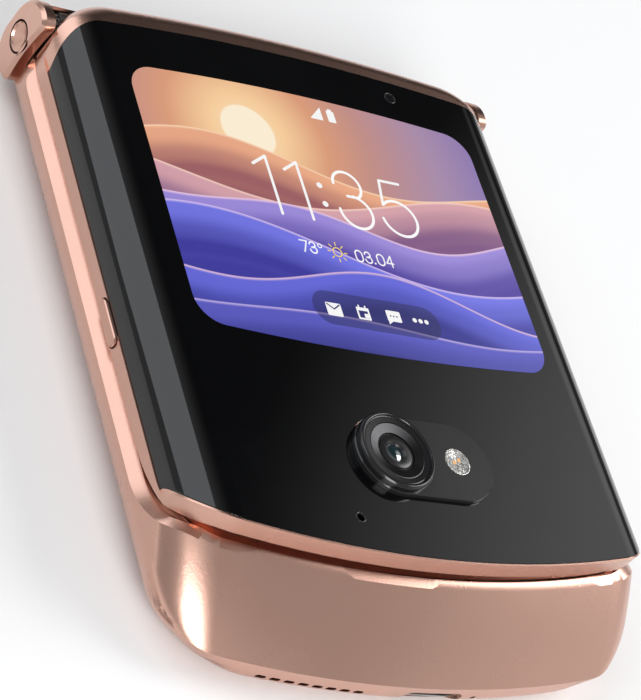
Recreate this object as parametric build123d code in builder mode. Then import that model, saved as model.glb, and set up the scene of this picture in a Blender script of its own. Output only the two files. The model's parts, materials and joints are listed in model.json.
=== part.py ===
"""Clamshell phone with a flexible inner screen, an outer display and a two-axis geared hinge.

The phone is closed and lies on its back: +Z points out of the outer glass, +Y at the hinge,
-Y at the chin, X across. The origin is the middle of the footprint, on the resting plane.
All sizes are in millimetres.
"""

from build123d import *
from math import acos, asin, cos, degrees, pi, radians, sin, sqrt, tan
import os

# ---------------------------------------------------------------- driving dimensions

# whole phone
phone_length = 91.7
phone_width = 72.6
phone_thickness = 16.0
parting_gap = 0.2  # between the closed halves
running_gap = 0.15  # between pieces that move past each other
seat_gap = 0.05  # around a piece that sits in a pocket

# base half
base_hinge_corner = 10.5
chin_corner = 8.0
chin_bow = 150.0  # radius of the chin's arc in plan
chin_crease_height = 4.2  # where the sloping front meets the end face
chin_lip_height = 11.8
chin_lip_setback = 9.9  # from the chin's end to the lip
chin_swell = 0.5  # how far the sloping front stands proud of flat
chin_under_round = 2.6
chin_wall = 3.0
chin_roof = 5.6  # top of the chin's cavity
flank_round = (8.0, 7.0)  # along X, along Z
rim_bevel = 0.8
flank_bevel = (1.45, 0.95)  # along X, along Z
floor_thickness = 1.6
base_sweep = (  # from the chin's end, height
    (23.35, 7.9),
    (21.05, 8.2),
    (18.95, 8.95),
    (16.85, 10.2),
    (15.05, 11.35),
    (13.25, 11.8),
)
lip_wall = 0.5
groove_ledge_height = 10.4
back_cover_size = (54.0, 72.0)
back_cover_thickness = 0.8
back_cover_corner = 7.0
fingerprint_radius = 6.0
fingerprint_y = 12.0
fingerprint_thickness = 1.0
fingerprint_recess = 0.2

# lid half
lid_flank_inset = 0.8  # from the base's flank
lid_hinge_corner = 9.5
lid_end_corner = 8.3
lid_end_bow = 150.0
lid_end_setback = 10.15  # from the chin's end to the lid's free end
band_sweep = (  # from the chin's end, height
    (33.85, 8.1),
    (27.85, 8.12),
    (23.85, 8.35),
    (21.15, 8.9),
    (18.65, 9.75),
    (17.35, 10.5),
    (16.35, 11.2),
    (14.65, 12.4),
    (12.65, 13.4),
)
band_bevel = 0.55
lid_body_inset = 1.15  # from the lid's band to its lower body
lid_end_wall = 2.4
hinge_bow = 280.0
band_inset = 0.08  # how far the metal lies below the glass
deck_thickness = 1.2

# glass of the lid
glass_flank_inset = 0.2  # from the lid's flank
glass_thickness = 0.7
glass_curve = (6.1, 5.4)  # along X, along Z, of its rolled-over sides
glass_end_margin = 0.3  # from the lid's free end
glass_hinge_margin = 4.3  # from the lid's hinge end

# hinge
axis_spacing = 6.4  # between the base's axis and the lid's
hinge_nose = 3.1  # how far the halves reach beyond their axes
hinge_end_setback = 0.2  # of the halves behind the caps
cover_radius = 2.05
cover_wall = 0.4
cover_wrap = 50.0  # degrees round each axis
pin_radius = 0.55
pin_clearance = 0.04
lug_radius = 1.5
lug_setback = 4.95  # from the base's flank
lug_width = 1.4
arm_height = (0.9, 1.4)  # below and above the axis
bracket_length = 16.0
bracket_foot_width = 6.0
bracket_foot_start = 9.0  # from the axis
bracket_foot_thickness = 0.8
hinge_plate_thickness = 0.6
gear_teeth = 10
gear_width = 1.3
gear_pressure_angle = 25.0
gear_addendum = 0.8  # in modules
gear_dedendum = 1.15  # in modules
gear_backlash = 0.04
idler_shaft_radius = 0.3
cap_thickness = 1.75
cap_radius = 4.6
cap_spread = 2.6  # between the centres of its two arcs
cap_corner = 1.3
cap_flat_offset = 2.0  # from the arcs' centres to its inner side
cap_hollow = 0.6  # how far that side is hollowed
cap_bevel = 0.45
cap_clearance = 0.8  # from its inner side to the halves' flanks
dimple_radius = 1.95
dimple_depth = 0.7
dimple_from_end = 3.7

# inner flexible screen
screen_side_margin = 5.6  # from the lid's flank
screen_thickness = 0.55
screen_recess = 0.15
screen_chin_margin = 18.7  # from the chin's end, which leaves 72.9 from the fold line
bend_reach = 8.0  # from the axes back to where the screen turns rigid
bend_bulb_radius = 2.3
bend_bulb_offset = 1.2  # bulb centre behind the axes
bend_flare_radius = 8.0
bezel_width = 1.35
midplate_thickness = 0.95
ledge_width = 1.1

# outer display and cameras
display_side_margin = 1.77  # from the glass's rolled-over sides
display_height = 41.15
display_corner = 4.0
display_bow = (1.2, 1.3)  # rise of the chin-side and hinge-side edges
display_thickness = 1.2
display_from_hinge = 31.9  # to the display's centre
camera_from_end = 13.95  # from the lid's free end
camera_x = -4.8
flash_x = 5.0
flash_radius = 1.9
pill_half_length = 10.3
pill_radius = 5.5
pill_height = 0.7
ring_radius = 5.4
ring_bore = 3.9
ring_height = 1.7
lens_recess = 0.35
lens_thickness = 0.6
camera_module_size = (10.6, 10.6, 3.4)
lid_mic_x = -12.3
lid_mic_from_end = 4.95
mic_hole_radius = 0.55
sensor_x = 16.1
sensor_from_display = 24.1

# keys
key_travel = 0.3
key_height = 1.7
key_level = 9.6
key_proud = 0.35
key_flange = 0.35
power_key_length = 6.6
volume_key_length = 15.0
power_key_y = -2.85
volume_key_y = 6.0

# chin openings
speaker_hole_count = 8
speaker_hole_pitch = 1.94
speaker_hole_size = (1.35, 0.7)
speaker_row_end_x = -7.9
speaker_hole_height = 2.2
usb_port_size = (9.0, 2.6)
usb_port_x = 3.1
usb_port_height = 1.85
usb_port_depth = 7.0
usb_port_setback = 1.15  # of the port's mouth behind the chin's end

# inside
battery_size = (48.0, 31.0, 4.2)
battery_clearance = 1.0  # to the boards
battery_camera_gap = 3.45
lid_board_length = 10.15  # beside the brackets
port_board_chip = (10.0, 9.0)
port_board_chip_x = -17.0
charge_chip = (12.0, 6.0)
charge_chip_x = -3.0
processor = (13.0, 13.0)
processor_x = -12.0
radio_chip = (16.0, 10.0)
radio_chip_x = 8.0
chip_height = (1.1, 1.2)  # on the base's board, on the lid's
chip_setback = 2.5  # from the board's edge
motor_radius = 4.6
motor_x = 20.5
motor_height = 2.9
speaker_length = 16.0
speaker_height = 2.8
earpiece_size = (12.0, 2.4, 1.6)
board_thickness = 0.8
screw_head = (1.1, 0.45)
screw_shank = (0.6, 2.2)

# ---------------------------------------------------------------- worked-out places

half_length = phone_length / 2
half_width = phone_width / 2
chin_end = -half_length
mid_height = phone_thickness / 2
base_top = mid_height - parting_gap / 2
lid_bottom = mid_height + parting_gap / 2
flank_start = flank_round[1]

hinge_end = half_length - hinge_end_setback
axis_y = hinge_end - hinge_nose
base_axis_z = mid_height - axis_spacing / 2
lid_axis_z = mid_height + axis_spacing / 2
cap_axis_y = half_length - cap_radius  # of its two arcs
channel_radius = cover_radius + running_gap

lip_y = chin_end + chin_lip_setback
lid_end = chin_end + lid_end_setback
base_parting = [(chin_end + run, z) for run, z in base_sweep]
band_parting = [(chin_end + run, z) for run, z in band_sweep]
lug_inner = half_width - lug_setback
lid_half_width = half_width - lid_flank_inset
glass_half_width = lid_half_width - glass_flank_inset
dome_flat = glass_half_width - glass_curve[0]
dome_start = phone_thickness - glass_curve[1]

display_y = half_length - display_from_hinge
display_half_width = dome_flat - display_side_margin
camera_y = lid_end + camera_from_end
mic_y = lid_end + lid_mic_from_end
screen_half_width = lid_half_width - screen_side_margin
screen_end = chin_end + screen_chin_margin
bend_start = axis_y - bend_reach
screen_top = base_top - screen_recess
plate_top = screen_top - screen_thickness
plate_bottom = plate_top - midplate_thickness
recess_half_width = screen_half_width + bezel_width + seat_gap
cavity_half_width = recess_half_width - ledge_width
recess_end = screen_end - bezel_width - seat_gap
cavity_hinge_end = bend_start - ledge_width
trough_floor = plate_bottom - 1.9
cap_inner = half_width - cap_thickness
cap_clear_x = cap_inner - running_gap
cap_clear_y = cap_axis_y - cap_flat_offset - cap_clearance
mirror_plane = Plane.XY.offset(mid_height)
reach = 2 * phone_length  # longer than anything it cuts


def sagitta(bow, half_chord):
    """Height of an arc of radius bow over half its chord."""
    return bow - sqrt(bow**2 - half_chord**2)


def save(part, label):
    """Label a piece and write its STEP file."""
    part.label = label
    export_step(part, f"parts/{label}.step")


def plan(z, width, low, low_bow, low_corner, high, high_bow, high_corner):
    """Outline seen from above: straight flanks, bowed ends, rounded corners."""
    low_side = low + sagitta(low_bow, width)
    high_side = high - sagitta(high_bow, width)
    with BuildSketch(Plane.XY.offset(z)) as outline:
        with BuildLine():
            ThreePointArc((-width, low_side), (0, low), (width, low_side))
            Line((width, low_side), (width, high_side))
            ThreePointArc((width, high_side), (0, high), (-width, high_side))
            Line((-width, high_side), (-width, low_side))
        make_face()
        fillet(outline.vertices().group_by(Axis.Y)[0], low_corner)
        fillet(outline.vertices().group_by(Axis.Y)[-1], high_corner)
    return outline.sketch


def base_plan(z, end, corner):
    """Outline of the base at a height, with its chin reaching to end."""
    return plan(z, half_width, end, chin_bow, corner, hinge_end, hinge_bow, base_hinge_corner)


def beyond_sweep(points, far, x=0.0):
    """Region of the plane at x between a swept-up parting line and the height far."""
    near = points[0]
    high = points[-1]
    with BuildSketch(Plane.YZ.offset(x)) as region:
        with BuildLine():
            Line((reach, near[1]), near)
            Spline(*points, tangents=((-1, 0), (-1, 0)))
            Line(high, (-reach, high[1]))
            Line((-reach, high[1]), (-reach, far))
            Line((-reach, far), (reach, far))
            Line((reach, far), (reach, near[1]))
        make_face()
    return region.sketch


def bevel_waste(points, side, flank, bevel, far):
    """Waste of a bevel along a flank, from the swept line down its side by bevel[1]."""
    run = bevel[0] + 1
    drop = bevel[1] * run / bevel[0]
    sunk = [(y, z - drop) for y, z in points]
    inner = beyond_sweep(points, far, side * (flank - bevel[0]))
    outer = beyond_sweep(sunk, far, side * (flank + 1))
    with BuildPart() as waste:
        loft([inner, outer], ruled=True)
    return waste.part


def edge_waste(end, direction, bow, radius, surface, outward, turn=40.0):
    """Revolved waste outside a rounded edge that follows a bowed end.

    end is the bowed end's Y, direction its outward way along Y, surface the height of the face
    that the round meets, outward that face's way along Z, turn the waste's angle in degrees.
    """
    pivot = Axis((0, end - direction * bow, 0), (0, 0, 1))
    inner = end - direction * radius
    centre = surface - outward * radius
    outer = end + direction * radius
    pull = 0.5523 * radius  # makes a Bezier curve follow a quarter circle
    handles = ((end, centre + outward * pull), (inner + direction * pull, surface))
    with BuildPart() as waste:
        with BuildSketch(Plane.YZ):
            with BuildLine():
                Line((inner, surface), (inner, surface + outward))
                Line((inner, surface + outward), (outer, surface + outward))
                Line((outer, surface + outward), (outer, centre))
                Line((outer, centre), (end, centre))
                Bezier((end, centre), *handles, (inner, surface))
            make_face()
        revolve(axis=pivot, revolution_arc=turn)
    return waste.part.rotate(pivot, -turn / 2)


def flank_section():
    """Cross-section of the base: upright flanks that roll under to the flat back."""
    flat = half_width - flank_round[0]
    with BuildSketch(Plane.XZ) as section:
        with BuildLine():
            Line((-flat, 0), (flat, 0))
            EllipticalCenterArc((flat, flank_start), *flank_round, start_angle=270, arc_size=90)
            Line((half_width, flank_start), (half_width, phone_thickness))
            Line((half_width, phone_thickness), (-half_width, phone_thickness))
            Line((-half_width, phone_thickness), (-half_width, flank_start))
            EllipticalCenterArc((-flat, flank_start), *flank_round, start_angle=180, arc_size=90)
        make_face()
    return section.sketch


def dome_section(inset, shoulder=0.0):
    """Cross-section under the lid's outer surface, sunk by inset, with shoulders below the curve."""
    rx = glass_curve[0] - inset
    rz = glass_curve[1] - inset
    side = dome_flat + rx
    foot = side + shoulder
    with BuildSketch(Plane.XZ) as section:
        with BuildLine():
            Line((dome_flat, dome_start + rz), (-dome_flat, dome_start + rz))
            EllipticalCenterArc((-dome_flat, dome_start), rx, rz, start_angle=90, arc_size=90)
            if shoulder:
                Line((-side, dome_start), (-foot, dome_start))
            Line((-foot, dome_start), (-foot, 0))
            Line((-foot, 0), (foot, 0))
            Line((foot, 0), (foot, dome_start))
            if shoulder:
                Line((foot, dome_start), (side, dome_start))
            EllipticalCenterArc((dome_flat, dome_start), rx, rz, start_angle=0, arc_size=90)
        make_face()
    return section.sketch


def box_between(low, high):
    """Plain box from its lowest corner to its highest."""
    size = [b - a for a, b in zip(low, high)]
    with BuildPart(Plane(origin=low)) as block:
        Box(*size, align=(Align.MIN, Align.MIN, Align.MIN))
    return block.part


def tunnel_sketch(axis_z, toward):
    """Space round one hinge axis that the cover needs; toward is the way to the mid-plane."""
    far = hinge_end + cover_radius
    with BuildSketch(Plane.YZ) as sketch:
        with Locations((axis_y, axis_z)):
            Circle(channel_radius)
        with BuildLine():
            start = axis_z - toward * channel_radius
            top = axis_z + toward * phone_thickness
            Polyline((axis_y, start), (far, start), (far, top), (axis_y, top), close=True)
        make_face()
        with BuildLine():
            left = axis_y - channel_radius
            Polyline((left, axis_z), (axis_y, axis_z), (axis_y, top), (left, top), close=True)
        make_face()
    return sketch.sketch


def display_outline(z, margin=0.0):
    """The outer display's outline: bowed long edges and rounded corners."""
    width = display_half_width + margin
    low = display_y - display_height / 2 - margin
    high = display_y + display_height / 2 + margin
    low_side = low + display_bow[0]
    high_side = high - display_bow[1]
    with BuildSketch(Plane.XY.offset(z)) as outline:
        with BuildLine():
            ThreePointArc((-width, low_side), (0, low), (width, low_side))
            Line((width, low_side), (width, high_side))
            ThreePointArc((width, high_side), (0, high), (-width, high_side))
            Line((-width, high_side), (-width, low_side))
        make_face()
        fillet(outline.vertices(), display_corner + margin)
    return outline.sketch


os.makedirs("parts", exist_ok=True)

# ---------------------------------------------------------------- base: frame

bracket_low = axis_y - bracket_length
foot_high_y = axis_y - bracket_foot_start
arm_outer = lug_inner + lug_width
foot_inner = arm_outer - bracket_foot_width
foot_top = plate_bottom - screw_head[1] - 0.1
foot_bottom = foot_top - bracket_foot_thickness
foot_screws = [(foot_inner + 1.8, bracket_low + 1.8), (foot_inner + 1.8, foot_high_y - 1.8)]
lower_half_width = lid_half_width - lid_body_inset
back_cover_y = 2.0
chin_cavity = (24.5, chin_end + 4.8, recess_end - 5.5)
speaker_holes = [
    (speaker_row_end_x - i * speaker_hole_pitch, speaker_hole_height)
    for i in range(speaker_hole_count)
]
bottom_mic_x = 9.5
seat = seat_gap
mid_chin_z = (chin_crease_height + chin_lip_height) / 2
mid_chin_y = (chin_end + lip_y) / 2 - chin_swell

crease_plan = base_plan(chin_crease_height, chin_end, chin_corner + 1)
foot_plan = base_plan(0, chin_end, chin_corner + 1)
swell_plan = base_plan(mid_chin_z, mid_chin_y, chin_corner + 0.5)
lip_plan = base_plan(chin_lip_height, lip_y, chin_corner)
groove_half_width = lower_half_width + 3 * running_gap
groove_plan = plan(
    groove_ledge_height,
    groove_half_width,
    lip_y + lip_wall,
    chin_bow,
    chin_corner - 1,
    reach,
    9 * reach,
    1,
)
pocket_plan = plan(
    base_top,
    lower_half_width + running_gap,
    lid_end + lid_body_inset - running_gap,
    lid_end_bow,
    lid_end_corner - lid_body_inset + running_gap,
    reach,
    9 * reach,
    1,
)


def usb_outline(margin):
    """Rounded slot of the charging port in the XZ plane."""
    with BuildSketch(Plane.XZ.offset(-chin_end)) as outline:
        with Locations((usb_port_x, usb_port_height)):
            width = usb_port_size[0] + 2 * margin
            height = usb_port_size[1] + 2 * margin
            RectangleRounded(width, height, height / 2 - 0.01)
    return outline.sketch


def back_cover_outline(z, margin):
    """Rounded outline of the back cover."""
    with BuildSketch(Plane.XY.offset(z)) as outline:
        with Locations((0, back_cover_y)):
            width = back_cover_size[0] + 2 * margin
            length = back_cover_size[1] + 2 * margin
            RectangleRounded(width, length, back_cover_corner + margin)
    return outline.sketch


with BuildPart() as base_frame:
    extrude(foot_plan, amount=chin_crease_height)
    loft([crease_plan, swell_plan, lip_plan])
    extrude(flank_section(), amount=reach, both=True, mode=Mode.INTERSECT)
    sweep_waste = beyond_sweep(base_parting, 2 * phone_thickness)
    extrude(sweep_waste, amount=reach, both=True, mode=Mode.SUBTRACT)
    rim = base_frame.edges().filter_by(lambda e: e.center().Z > base_top - 0.01)
    rim = rim.filter_by(lambda e: e.center().Y < hinge_end - 1)
    chamfer(rim, rim_bevel)
    for side in (-1, 1):
        bevel = bevel_waste(base_parting, side, half_width, flank_bevel, 2 * phone_thickness)
        add(bevel, mode=Mode.SUBTRACT)
    add(edge_waste(hinge_end, 1, hinge_bow, hinge_nose, 0, -1), mode=Mode.SUBTRACT)
    add(edge_waste(chin_end, -1, chin_bow, chin_under_round, 0, -1), mode=Mode.SUBTRACT)
    extrude(groove_plan, amount=phone_thickness, mode=Mode.SUBTRACT)
    extrude(pocket_plan, amount=phone_thickness, mode=Mode.SUBTRACT)
    # screen recess, bend trough and hinge space
    recess_low = (-recess_half_width, recess_end, plate_bottom)
    add(box_between(recess_low, (recess_half_width, reach, reach)), mode=Mode.SUBTRACT)
    trough_low = (-recess_half_width, bend_start - 0.5, trough_floor)
    add(box_between(trough_low, (recess_half_width, reach, reach)), mode=Mode.SUBTRACT)
    tunnel = tunnel_sketch(base_axis_z, 1)
    extrude(tunnel, amount=cap_clear_x + 0.2, both=True, mode=Mode.SUBTRACT)
    for side in (-1, 1):
        x_near = min(side * cap_clear_x, side * reach)
        x_far = max(side * cap_clear_x, side * reach)
        waste = box_between((x_near, cap_clear_y, -1), (x_far, reach, reach))
        add(waste, mode=Mode.SUBTRACT)
        x_near = min(side * (foot_inner - seat), side * (arm_outer + seat))
        x_far = max(side * (foot_inner - seat), side * (arm_outer + seat))
        foot_low = (x_near, bracket_low - seat, foot_bottom - seat)
        add(box_between(foot_low, (x_far, axis_y, plate_bottom)), mode=Mode.SUBTRACT)
        x_near = min(side * (lug_inner - seat), side * (arm_outer + seat))
        x_far = max(side * (lug_inner - seat), side * (arm_outer + seat))
        arm_low = (x_near, bracket_low - seat, base_axis_z - arm_height[0] - seat)
        add(box_between(arm_low, (x_far, axis_y, plate_bottom)), mode=Mode.SUBTRACT)
    # room for the battery, the board and the chin's parts
    room_end = bracket_low - 1
    room_low = (-cavity_half_width, recess_end + 1, floor_thickness)
    add(box_between(room_low, (cavity_half_width, room_end, reach)), mode=Mode.SUBTRACT)
    inner_low = (1 - foot_inner, room_end - 1, floor_thickness)
    add(box_between(inner_low, (foot_inner - 1, cavity_hinge_end, reach)), mode=Mode.SUBTRACT)
    deck_low = (-cavity_half_width, chin_cavity[2], floor_thickness)
    deck_high = (cavity_half_width, recess_end + 2, chin_roof)
    add(box_between(deck_low, deck_high), mode=Mode.SUBTRACT)
    chin_low = (-chin_cavity[0], chin_cavity[1], floor_thickness)
    add(box_between(chin_low, (chin_cavity[0], recess_end, chin_roof)), mode=Mode.SUBTRACT)
    # openings in the end face
    wall_depth = chin_cavity[1] - chin_end + 1
    port_room = usb_port_setback + usb_port_depth + seat
    extrude(usb_outline(seat), amount=-port_room, mode=Mode.SUBTRACT)
    with BuildSketch(Plane.XZ.offset(-chin_end)):
        with Locations(*speaker_holes):
            RectangleRounded(*speaker_hole_size, speaker_hole_size[1] / 2 - 0.01)
        with Locations((bottom_mic_x, speaker_hole_height)):
            Circle(speaker_hole_size[1] / 2)
    extrude(amount=-wall_depth, mode=Mode.SUBTRACT)
    # back cover recess, fingerprint sensor recess, bracket screw holes
    extrude(back_cover_outline(0, seat), amount=back_cover_thickness, mode=Mode.SUBTRACT)
    with BuildSketch():
        with Locations((0, fingerprint_y)):
            Circle(fingerprint_radius + seat)
    extrude(amount=fingerprint_recess + fingerprint_thickness + seat, mode=Mode.SUBTRACT)
    with BuildSketch(Plane.XY.offset(foot_bottom)):
        with Locations(*foot_screws, *[(-x, y) for x, y in foot_screws]):
            Circle(screw_shank[0] + 0.02)
    extrude(amount=-screw_shank[1], mode=Mode.SUBTRACT)
save(base_frame.part, "base_frame")

with BuildPart() as back_cover:
    extrude(back_cover_outline(0, 0), amount=back_cover_thickness - seat)
    with BuildSketch():
        with Locations((0, fingerprint_y)):
            Circle(fingerprint_radius + seat)
    extrude(amount=back_cover_thickness, mode=Mode.SUBTRACT)
    chamfer(back_cover.faces().sort_by(Axis.Z)[0].outer_wire().edges(), 0.12)
save(back_cover.part, "back_cover")

with BuildPart() as fingerprint_sensor:
    with BuildSketch(Plane.XY.offset(fingerprint_recess)):
        with Locations((0, fingerprint_y)):
            Circle(fingerprint_radius)
    extrude(amount=fingerprint_thickness)
    chamfer(fingerprint_sensor.edges().group_by(Axis.Z)[0], 0.15)
save(fingerprint_sensor.part, "fingerprint_sensor")

# ---------------------------------------------------------------- base: inside

battery_y = 1.5
board_half_width = cavity_half_width - 0.5
board_top = floor_thickness + seat + board_thickness

with BuildPart() as base_battery:
    with BuildSketch(Plane.XY.offset(floor_thickness + seat)):
        with Locations((0, battery_y)):
            RectangleRounded(battery_size[0], battery_size[1], 2)
    extrude(amount=battery_size[2])
    fillet(base_battery.edges().group_by(Axis.Z)[-1], 0.6)
save(base_battery.part, "base_battery")

with BuildPart() as base_board:
    board_level = Plane.XY.offset(floor_thickness + seat)
    board_end = battery_y - battery_size[1] / 2 - battery_clearance
    deck_edge = chin_cavity[2] + 0.3
    chin_edge = chin_cavity[1] + 0.3
    with BuildSketch(board_level):
        with BuildLine():
            Polyline(
                (-board_half_width, board_end),
                (-board_half_width, deck_edge),
                (0.5 - chin_cavity[0], deck_edge),
                (0.5 - chin_cavity[0], chin_edge),
                (chin_cavity[0] - 0.5, chin_edge),
                (chin_cavity[0] - 0.5, deck_edge),
                (board_half_width, deck_edge),
                (board_half_width, board_end),
                close=True,
            )
        make_face()
        with Locations((usb_port_x, chin_edge)):
            Rectangle(usb_port_size[0] + 0.6, 2 * usb_port_depth, mode=Mode.SUBTRACT)
    extrude(amount=board_thickness)
    with BuildSketch(Plane.XY.offset(board_top)):
        with Locations((port_board_chip_x, board_end - 2 - port_board_chip[1] / 2)):
            Rectangle(*port_board_chip)
        with Locations((charge_chip_x, board_end - 2 - charge_chip[1] / 2)):
            Rectangle(*charge_chip)
    extrude(amount=chip_height[0])
save(base_board.part, "base_board")

with BuildPart() as usb_c_port:
    port_front = chin_end + usb_port_setback
    port_back = port_front + usb_port_depth
    extrude(usb_outline(0), amount=chin_end - port_back)
    extrude(usb_outline(-0.3), amount=chin_end - port_back + 0.7, mode=Mode.SUBTRACT)
    add(box_between((-reach, -reach, -1), (reach, port_front, reach)), mode=Mode.SUBTRACT)
    tongue = box_between(
        (usb_port_x - 3.35, port_front + 1, usb_port_height - 0.35),
        (usb_port_x + 3.35, port_back, usb_port_height + 0.35),
    )
    add(tongue)
save(usb_c_port.part, "usb_c_port")

with BuildPart() as speaker_module:
    speaker_x = speaker_row_end_x - (speaker_hole_count - 1) * speaker_hole_pitch / 2
    with BuildSketch(Plane.XY.offset(board_top + seat)):
        with Locations((speaker_x, (chin_edge + deck_edge) / 2)):
            RectangleRounded(speaker_length, deck_edge - chin_edge, 1.0)
    extrude(amount=speaker_height)
save(speaker_module.part, "speaker_module")

with BuildPart() as bottom_microphone:
    with BuildSketch(Plane.XY.offset(board_top)):
        with Locations((bottom_mic_x, chin_edge + 1.3)):
            Rectangle(3.0, 2.4)
    extrude(amount=1.1)
save(bottom_microphone.part, "bottom_microphone")

with BuildPart() as vibration_motor:
    with BuildSketch(Plane.XY.offset(board_top)):
        with Locations((motor_x, board_end - 1.9 - motor_radius)):
            Circle(motor_radius)
    extrude(amount=motor_height)
    chamfer(vibration_motor.edges().group_by(Axis.Z)[-1], 0.3)
save(vibration_motor.part, "vibration_motor")


def midplate(hole):
    """Plate behind one half of the inner screen, with an optional round hole."""
    with BuildPart() as plate:
        low = (seat - recess_half_width, recess_end + seat, plate_bottom)
        add(box_between(low, (recess_half_width - seat, bend_start - 0.6, plate_top - 0.02)))
        if hole:
            with BuildSketch(Plane.XY.offset(plate_bottom)):
                with Locations((selfie_x, selfie_y)):
                    Circle(hole)
            extrude(amount=midplate_thickness, mode=Mode.SUBTRACT)
    return plate.part


def flexible_panel(hole):
    """The flat part of the inner screen over one half, with an optional round hole."""
    with BuildPart() as panel:
        with BuildSketch(Plane.XY.offset(plate_top)) as outline:
            with BuildLine():
                Polyline(
                    (-screen_half_width, screen_end),
                    (screen_half_width, screen_end),
                    (screen_half_width, bend_start),
                    (-screen_half_width, bend_start),
                    close=True,
                )
            make_face()
            fillet(outline.vertices().group_by(Axis.Y)[0], 4.0)
            if hole:
                with Locations((selfie_x, selfie_y)):
                    Circle(hole, mode=Mode.SUBTRACT)
        extrude(amount=screen_thickness)
    return panel.part


def bezel():
    """Raised frame round three sides of one half's flexible panel."""
    with BuildPart() as frame:
        with BuildSketch(Plane.XY.offset(plate_top)) as outline:
            with BuildLine():
                Polyline(
                    (seat - recess_half_width, recess_end + seat),
                    (recess_half_width - seat, recess_end + seat),
                    (recess_half_width - seat, bend_start - 0.6),
                    (seat - recess_half_width, bend_start - 0.6),
                    close=True,
                )
            make_face()
            inside = screen_half_width + seat
            with BuildLine():
                corner = 4.0
                Line((inside, reach), (inside, screen_end - seat + corner))
                RadiusArc(
                    (inside, screen_end - seat + corner),
                    (inside - corner, screen_end - seat),
                    corner,
                )
                Line((inside - corner, screen_end - seat), (corner - inside, screen_end - seat))
                RadiusArc(
                    (corner - inside, screen_end - seat),
                    (-inside, screen_end - seat + corner),
                    corner,
                )
                Line((-inside, screen_end - seat + corner), (-inside, reach))
                Line((-inside, reach), (inside, reach))
            make_face(mode=Mode.SUBTRACT)
        extrude(amount=base_top - plate_top)
    return frame.part


selfie_x = 0.0
selfie_y = screen_end + 4.2
selfie_radius = 1.6

save(midplate(0), "base_midplate")
save(flexible_panel(0), "screen_base")
save(bezel(), "base_bezel")

# ---------------------------------------------------------------- lid: frame

glass_end = lid_end + glass_end_margin
glass_hinge_end = hinge_end - glass_hinge_margin
glass_floor = phone_thickness - glass_thickness - seat
display_floor = glass_floor - display_thickness
deck_floor = display_floor - deck_thickness
lid_plate_bottom = phone_thickness - plate_bottom
lid_room_end = lid_end + lid_body_inset + lid_end_wall + 1.2
keys = [
    (-1, power_key_y, power_key_length),
    (1, volume_key_y, volume_key_length),
]
flange_height = key_height + 2 * key_flange
key_wall = 1.9
key_room = 1.7
key_room_half = 1.4  # how far a key's room reaches past the key
flash_led_size = (2.0, 2.0, 0.6)
module_floor = glass_floor - seat - camera_module_size[2] - 0.2
earpiece_y = recess_end - 1.6

lid_plan = plan(
    lid_bottom,
    lid_half_width,
    lid_end,
    lid_end_bow,
    lid_end_corner,
    hinge_end,
    hinge_bow,
    lid_hinge_corner,
)
lower_plan = plan(
    lid_bottom,
    lower_half_width,
    lid_end + lid_body_inset,
    lid_end_bow,
    lid_end_corner - lid_body_inset,
    0,
    reach,
    1,
)


def glass_plan(margin):
    """Outline of the lid's glass, seen from above, at the level of its lower edge."""
    return plan(
        dome_start - margin,
        glass_half_width + margin,
        glass_end - margin,
        lid_end_bow,
        lid_end_corner - glass_end_margin + margin,
        glass_hinge_end + margin,
        hinge_bow,
        lid_hinge_corner - 3.0 + margin,
    )


def pill(z, margin):
    """Outline of the raised camera plate."""
    with BuildSketch(Plane.XY.offset(z)) as outline:
        with Locations((0, camera_y)):
            SlotOverall(2 * (pill_half_length + margin), 2 * (pill_radius + margin))
    return outline.sketch


def disc(x, y, radius, low, high):
    """Upright round bar."""
    with BuildPart(Plane(origin=(x, y, low))) as bar:
        Cylinder(radius, high - low, align=(Align.CENTER, Align.CENTER, Align.MIN))
    return bar.part


def corner_waste(side, surface):
    """Waste that carries the rounded hinge end on round one corner of the lid."""
    centre_x = lid_half_width - lid_hinge_corner
    to_centre = hinge_bow - lid_hinge_corner
    centre_y = hinge_end - hinge_bow + sqrt(to_centre**2 - centre_x**2)
    slope = degrees(asin(centre_x / to_centre))
    end = centre_y + lid_hinge_corner
    waste = edge_waste(end, 1, lid_hinge_corner, hinge_nose, surface, 1, 90 - slope)
    pivot = Axis((0, centre_y, 0), (0, 0, 1))
    return waste.rotate(pivot, side * (slope / 2 - 45)).moved(Location((side * centre_x, 0, 0)))


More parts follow.
